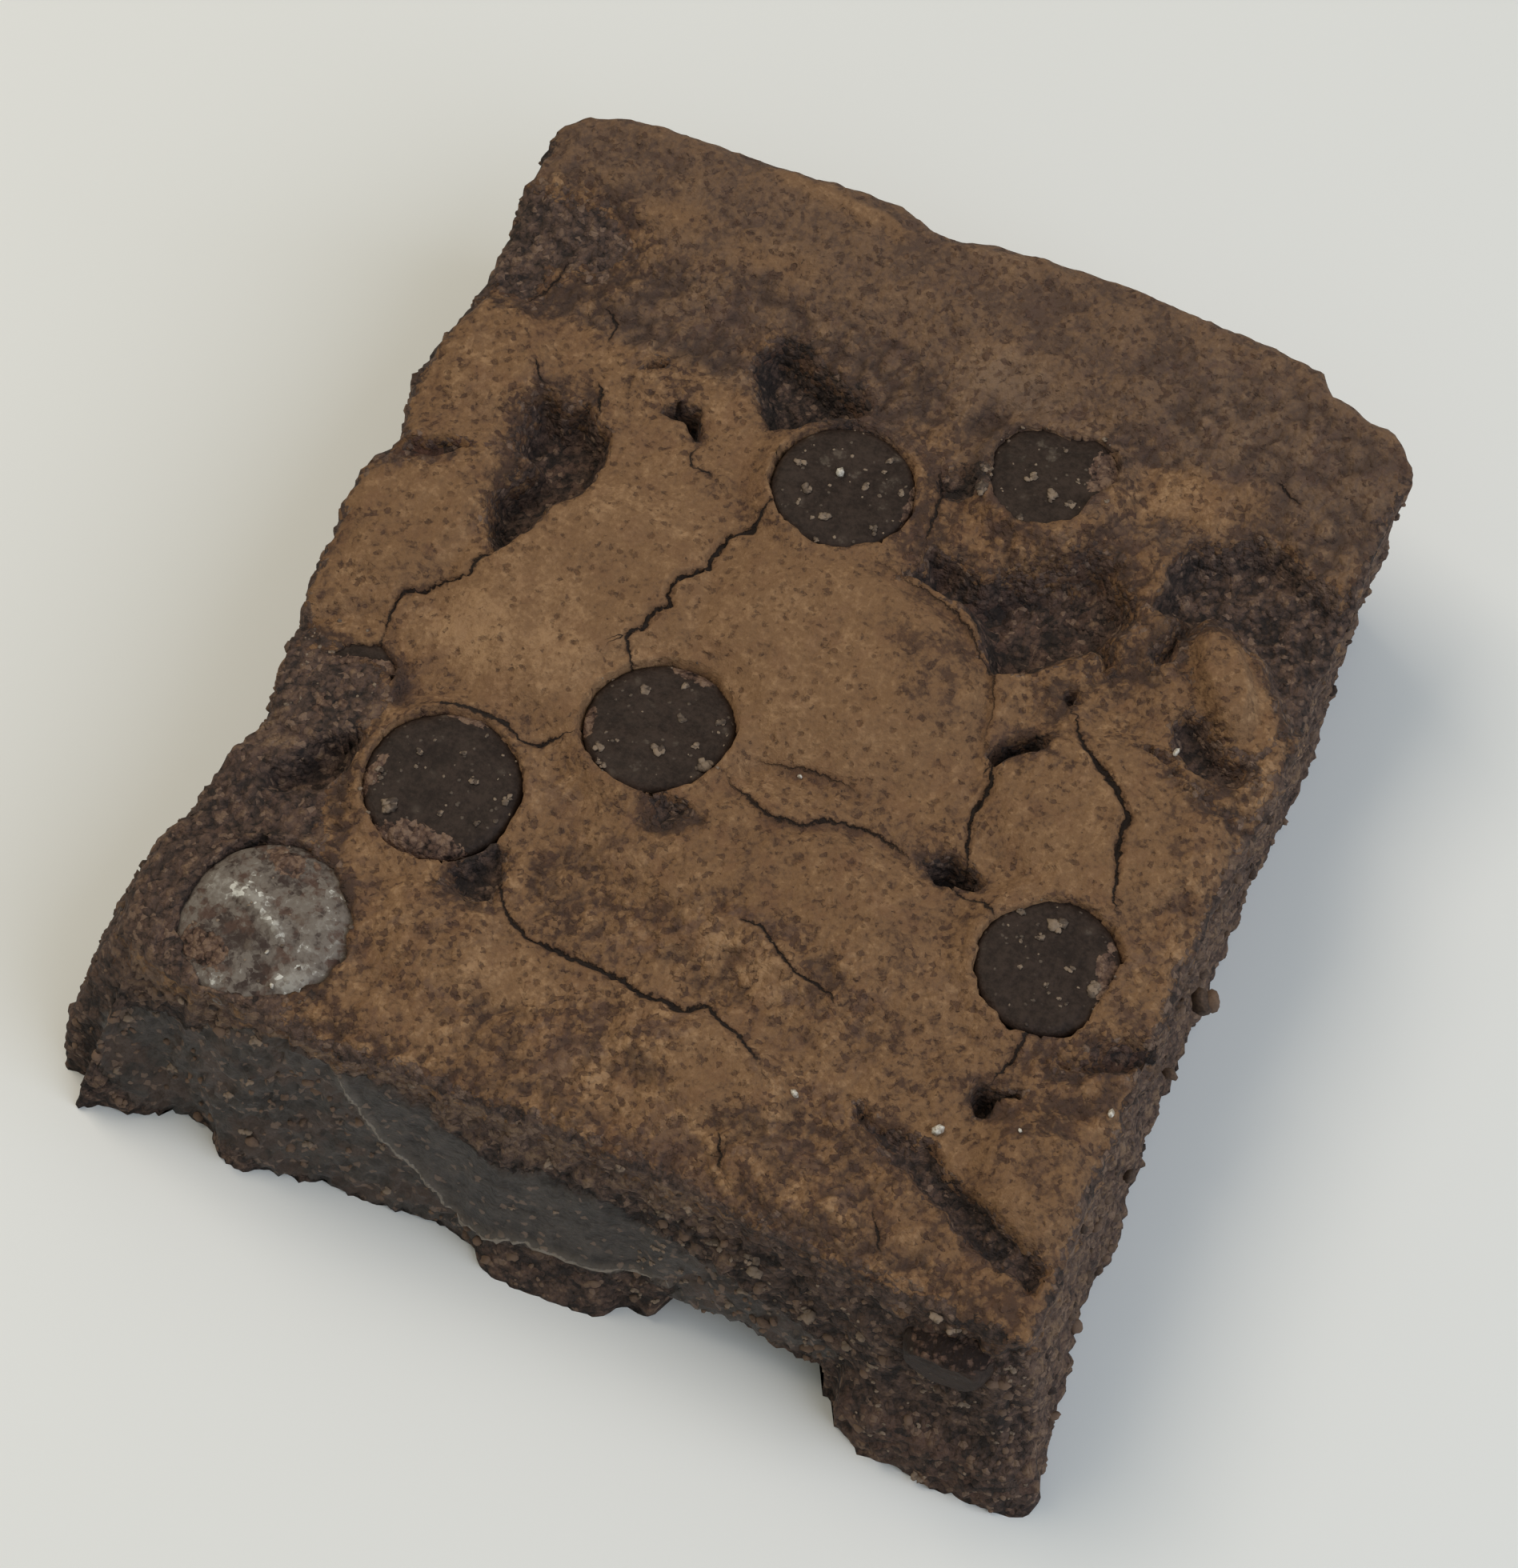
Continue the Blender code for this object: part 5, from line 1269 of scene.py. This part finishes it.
def chocolate_material(name, bloomed):
    """Satin chocolate with scuffs and dust, with crumb caked on it, and greyed by bloom with a painted sheen if asked.
    """
    s = Shader(name)
    coat = s.value("coat")
    fine, middle, broad = s.noise(0.5, 3.0, 0.6), s.noise(1.3, 3.0, 0.6), s.noise(3.5, 2.0, 0.5)
    grain = s.noise(0.30, 3.0, 0.7)
    crumb_kind, crumb_far = s.cells(0.75)
    sand_kind, sand_far = s.cells(0.40)
    shade = s.total((broad, 0.8), (middle, 1.2), (fine, 1.4), (grain, 1.4), (1.0, -1.9))
    colour = s.blend(s.step(shade, 0.0, 1.0), CHOCOLATE, CHOCOLATE_LIGHT)
    if bloomed:
        frost = s.total((s.value("frost"), 1.0), (broad, 1.6), (middle, 2.4), (fine, 2.0), (grain, 1.2),
                        (sand_kind, 0.9), (crumb_kind, 0.9), (1.0, -4.3))
        colour = s.blend(s.step(frost, -1.0, 0.5), BLOOM_DARK, BLOOM_GREY)
        ruddy = s.math("MULTIPLY", s.step(s.noise(1.8, 3.0, 0.6), 0.48, 0.60), s.step(frost, 0.6, -0.2))
        colour = s.blend(s.math("MULTIPLY", ruddy, 0.6), colour, BLOOM_RED)
        # Painted sheen: the lightest band over the grey bloom, with white specks that are partly bloom and partly
        # painted glints
        colour = s.blend(s.step(frost, 0.5, 2.0), colour, BLOOM_AND_SHEEN_LIGHT)
        sparkle = s.math("MULTIPLY", s.step(frost, 0.9, 1.8), s.step(sand_kind, 0.80, 0.86))
        colour = s.blend(sparkle, colour, BLOOM_AND_GLINT_WHITE)
    smudge = s.math("MULTIPLY", s.step(s.total((s.spots(1.9), 1.0), (fine, 0.9), (grain, 0.5)), 1.02, 0.72),
                    s.step(s.noise(2.6, 2.0), 0.46, 0.60))
    colour = s.blend(s.math("MULTIPLY", smudge, 0.55), colour, SMUDGE)
    dust = s.math("MULTIPLY", s.step(s.total((s.spots(0.7), 1.0), (grain, 0.5)), 0.46, 0.36),
                  s.step(s.noise(1.8, 2.0), 0.46, 0.60))
    colour = s.blend(s.math("MULTIPLY", dust, 0.6), colour, SMUDGE)
    caked = s.step(s.total((coat, 1.0), (fine, 0.8), (crumb_kind, 0.8), (sand_kind, 0.5)), 1.00, 1.12)
    sandy = s.total((fine, 0.8), (grain, 0.8), (crumb_kind, 0.5), (sand_kind, 0.7), (sand_far, -0.8))
    if not bloomed:
        sandy = s.total((sandy, 1.0), (s.value("frost"), 1.0))
    crumb = s.blend(s.step(sandy, 0.30, 0.95), CRUMB_DARK, CRUMB_MIDDLE)
    crumb = s.blend(s.step(sandy, 0.85, 1.45), crumb, CRUMB_LIGHT)
    colour = s.blend(caked, colour, crumb)
    s.give(s.surface.inputs["Base Color"], colour)
    s.give(s.surface.inputs["Roughness"], s.total((caked, 0.3), (fine, 0.2), (1.0, 0.45)))
    s.surface.inputs["Specular IOR Level"].default_value = 0.12
    knobbly = s.math("MULTIPLY", caked, s.total((fine, 0.35), (crumb_far, -0.25), (sand_far, -0.15)))
    s.bump(s.total((fine, 0.08), (middle, 0.14), (grain, 0.05), (knobbly, 1.0), (dust, 0.05), (smudge, 0.05)), 0.8)
    return s.made


def grain_material(name, dark, light, roughness):
    """Loose crumbs, each a little lighter or darker."""
    s = Shader(name)
    fine = s.noise(0.3, 3.0, 0.6)
    share = s.total((s.value("shade"), 0.7), (fine, 0.9))
    s.give(s.surface.inputs["Base Color"], s.blend(s.step(share, 0.35, 1.15), dark, light))
    s.surface.inputs["Roughness"].default_value = roughness
    s.surface.inputs["Specular IOR Level"].default_value = 0.35
    s.bump(s.total((fine, 0.08)), 0.7)
    return s.made


def crystal_material():
    """Grains of sugar."""
    s = Shader("sugar_crystal")
    fine = s.noise(0.25, 2.0)
    s.give(s.surface.inputs["Base Color"], s.blend(s.step(fine, 0.3, 0.7), srgb(150, 136, 120),
                                                   srgb(226, 219, 208)))
    s.surface.inputs["Roughness"].default_value = 0.3
    s.surface.inputs["Subsurface Weight"].default_value = 0.2
    s.surface.inputs["Subsurface Radius"].default_value = (0.0004, 0.0004, 0.0004)
    s.bump(s.total((fine, 0.06)), 0.6)
    return s.made


# ---------------------------------------------------------------- Building it

crumb_surface = crumb_material()
chocolate_surface = chocolate_material("dark_chocolate", False)
bloom_surface = chocolate_material("bloomed_chocolate", True)

body, top_points, ring_points, ring_normals = brownie_body(crumb_surface)
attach(body, "root")
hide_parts("brownie")

chips = []
for chip_number in range(1, len(CHIPS) + 1):
    bloomed = chip_number == 6
    made = chip(chip_number, bloom_surface if bloomed else chocolate_surface)
    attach(made, "root")
    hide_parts(f"chip_{chip_number}")
    chips.append(made)
made = cut_chip(chocolate_surface)
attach(made, "root")
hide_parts("chip_cut")

find = top_finder([top_points] + [object_points(c) for c in chips])


def face_point(along, up):
    """The point of the front face at this distance along X and height."""
    points = ring_points[:, ring_normals[:, 1] < -0.6].reshape(-1, 3)
    gone = np.hypot(points[:, 0] - along, points[:, 2] - up)
    return points[gone.argmin()]


light_surface = grain_material("light_crumb", srgb(66, 54, 47), srgb(136, 117, 100), 0.85)
dark_surface = grain_material("dark_crumb", srgb(50, 39, 34), srgb(112, 89, 73), 0.85)

draw = np.random.default_rng(11)
places, sizes = [], []
for a, b, size in CHIP_CRUMBS:
    places.append(find(a, b) + (0, 0, 0.08 * size))
    sizes.append(size)
for a, b, size in FACE_CRUMBS:
    places.append(face_point(a, b) + (0, -0.1 * size, 0))
    sizes.append(size)
for _ in range(110):
    places.append(face_point(draw.uniform(6, 36), draw.uniform(1, 15)) + (0, -0.02, 0))
    sizes.append(draw.uniform(0.2, 0.5))
for number in range(1, 8):
    centre, radius = CHIPS[number - 1][:2]
    for _ in range(26):
        out, turn = radius * math.sqrt(draw.uniform(0, 1)), draw.uniform(0, 6.28)
        spot = find(*lay(centre[0] + out * math.cos(turn), centre[1] + out * math.sin(turn), 19.2))
        size = 0.15 + 0.35 * draw.uniform(0, 1) ** 3
        places.append(spot + (0, 0, 0.05 * size))
        sizes.append(size)
places, sizes = clusters(places, sizes, 7)
made = grain_piece("light_crumbs", places, sizes, light_surface, 2, 0.6, 0.35, 3)
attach(made, "root")

places, sizes = [], []
for a, b, size in CRYSTALS:
    places.append(find(a, b) + (0, 0, 0.2 * size))
    sizes.append(size)
made = grain_piece("sugar_crystals", places, sizes, crystal_material(), 1, 0.2, 0.8, 4)
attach(made, "root")

places, sizes = [], []
for x, y, z, size in SIDE_CRUMBS:
    places.append(np.array((x, y, z)))
    sizes.append(size)
wall_count = len(ring_normals)
for _ in range(1300):
    column, ring = draw.integers(wall_count), int((WALL_RINGS - 1) * draw.uniform(0, 1) ** 1.1)
    if ring_normals[column, 1] > 0.5:
        continue
    spot = ring_points[ring, column]
    size = 0.35 + 0.65 * draw.uniform(0, 1) ** 2
    if ring_normals[column, 1] < -0.6 and depth_inside(spot[:1], spot[2:], SMOOTH_FILM)[0] > -0.5:
        continue
    inward = np.append(ring_normals[column], 0) * (-0.12 * size)
    place = spot + inward
    place[2] = max(place[2], 0.62 * size)
    places.append(place)
    sizes.append(size)
made = grain_piece("dark_crumbs", places, sizes, dark_surface, 2, 0.42, 1.0, 5)
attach(made, "root")

# ---------------------------------------------------------------- Camera, light and floor

scene = bpy.context.scene
scene.view_settings.view_transform = "Standard"

azimuth, elevation = math.radians(CAMERA_AZIMUTH), math.radians(CAMERA_ELEVATION)
back = Vector((math.sin(azimuth) * math.cos(elevation), -math.cos(azimuth) * math.cos(elevation),
               math.sin(elevation)))
camera = bpy.data.objects.new("camera", bpy.data.cameras.new("camera"))
camera.data.lens = CAMERA_LENS
camera.data.clip_start = 0.01
camera.data.clip_end = 10
camera.rotation_mode = "QUATERNION"
camera.location = (Vector(CAMERA_TARGET) + Vector(PLAN_ORIGIN) + back * CAMERA_DISTANCE) * MM
camera.rotation_quaternion = (-back).to_track_quat("-Z", "Y")
scene.collection.objects.link(camera)
scene.camera = camera


def area_light(name, place, size, watts, colour):
    """A square lamp that looks at the object's middle."""
    lamp = bpy.data.lights.new(name, "AREA")
    lamp.size = size
    lamp.energy = watts
    lamp.color = colour
    made = bpy.data.objects.new(name, lamp)
    made.location = place
    made.rotation_mode = "QUATERNION"
    made.rotation_quaternion = Vector(place).to_track_quat("Z", "Y")
    scene.collection.objects.link(made)


area_light("window", (-0.44, 0.17, 0.82), 0.5, 3.4, (1.0, 0.90, 0.75))
area_light("ceiling", (0.65, -0.08, 0.54), 0.8, 4.1, (0.70, 0.80, 0.97))

world = bpy.data.worlds.new("world")
world.use_nodes = True
world.node_tree.nodes["Background"].inputs["Color"].default_value = (0.97, 1.0, 0.87, 1)
world.node_tree.nodes["Background"].inputs["Strength"].default_value = 0.345
scene.world = world

floor_data = bpy.data.meshes.new("floor")
reach = 1.5
floor_data.from_pydata([(-reach, -reach, 0), (reach, -reach, 0), (reach, reach, 0), (-reach, reach, 0)], [],
                       [(0, 1, 2, 3)])
floor = bpy.data.objects.new("floor", floor_data)
floor_surface = Shader("pale_floor")
soft_noise = floor_surface.noise(60.0, 2.0)
floor_surface.give(floor_surface.surface.inputs["Base Color"],
                   floor_surface.blend(soft_noise, (0.81, 0.81, 0.81, 1), (0.83, 0.83, 0.83, 1)))
floor_surface.surface.inputs["Roughness"].default_value = 0.5
floor_data.materials.append(floor_surface.made)
scene.collection.objects.link(floor)
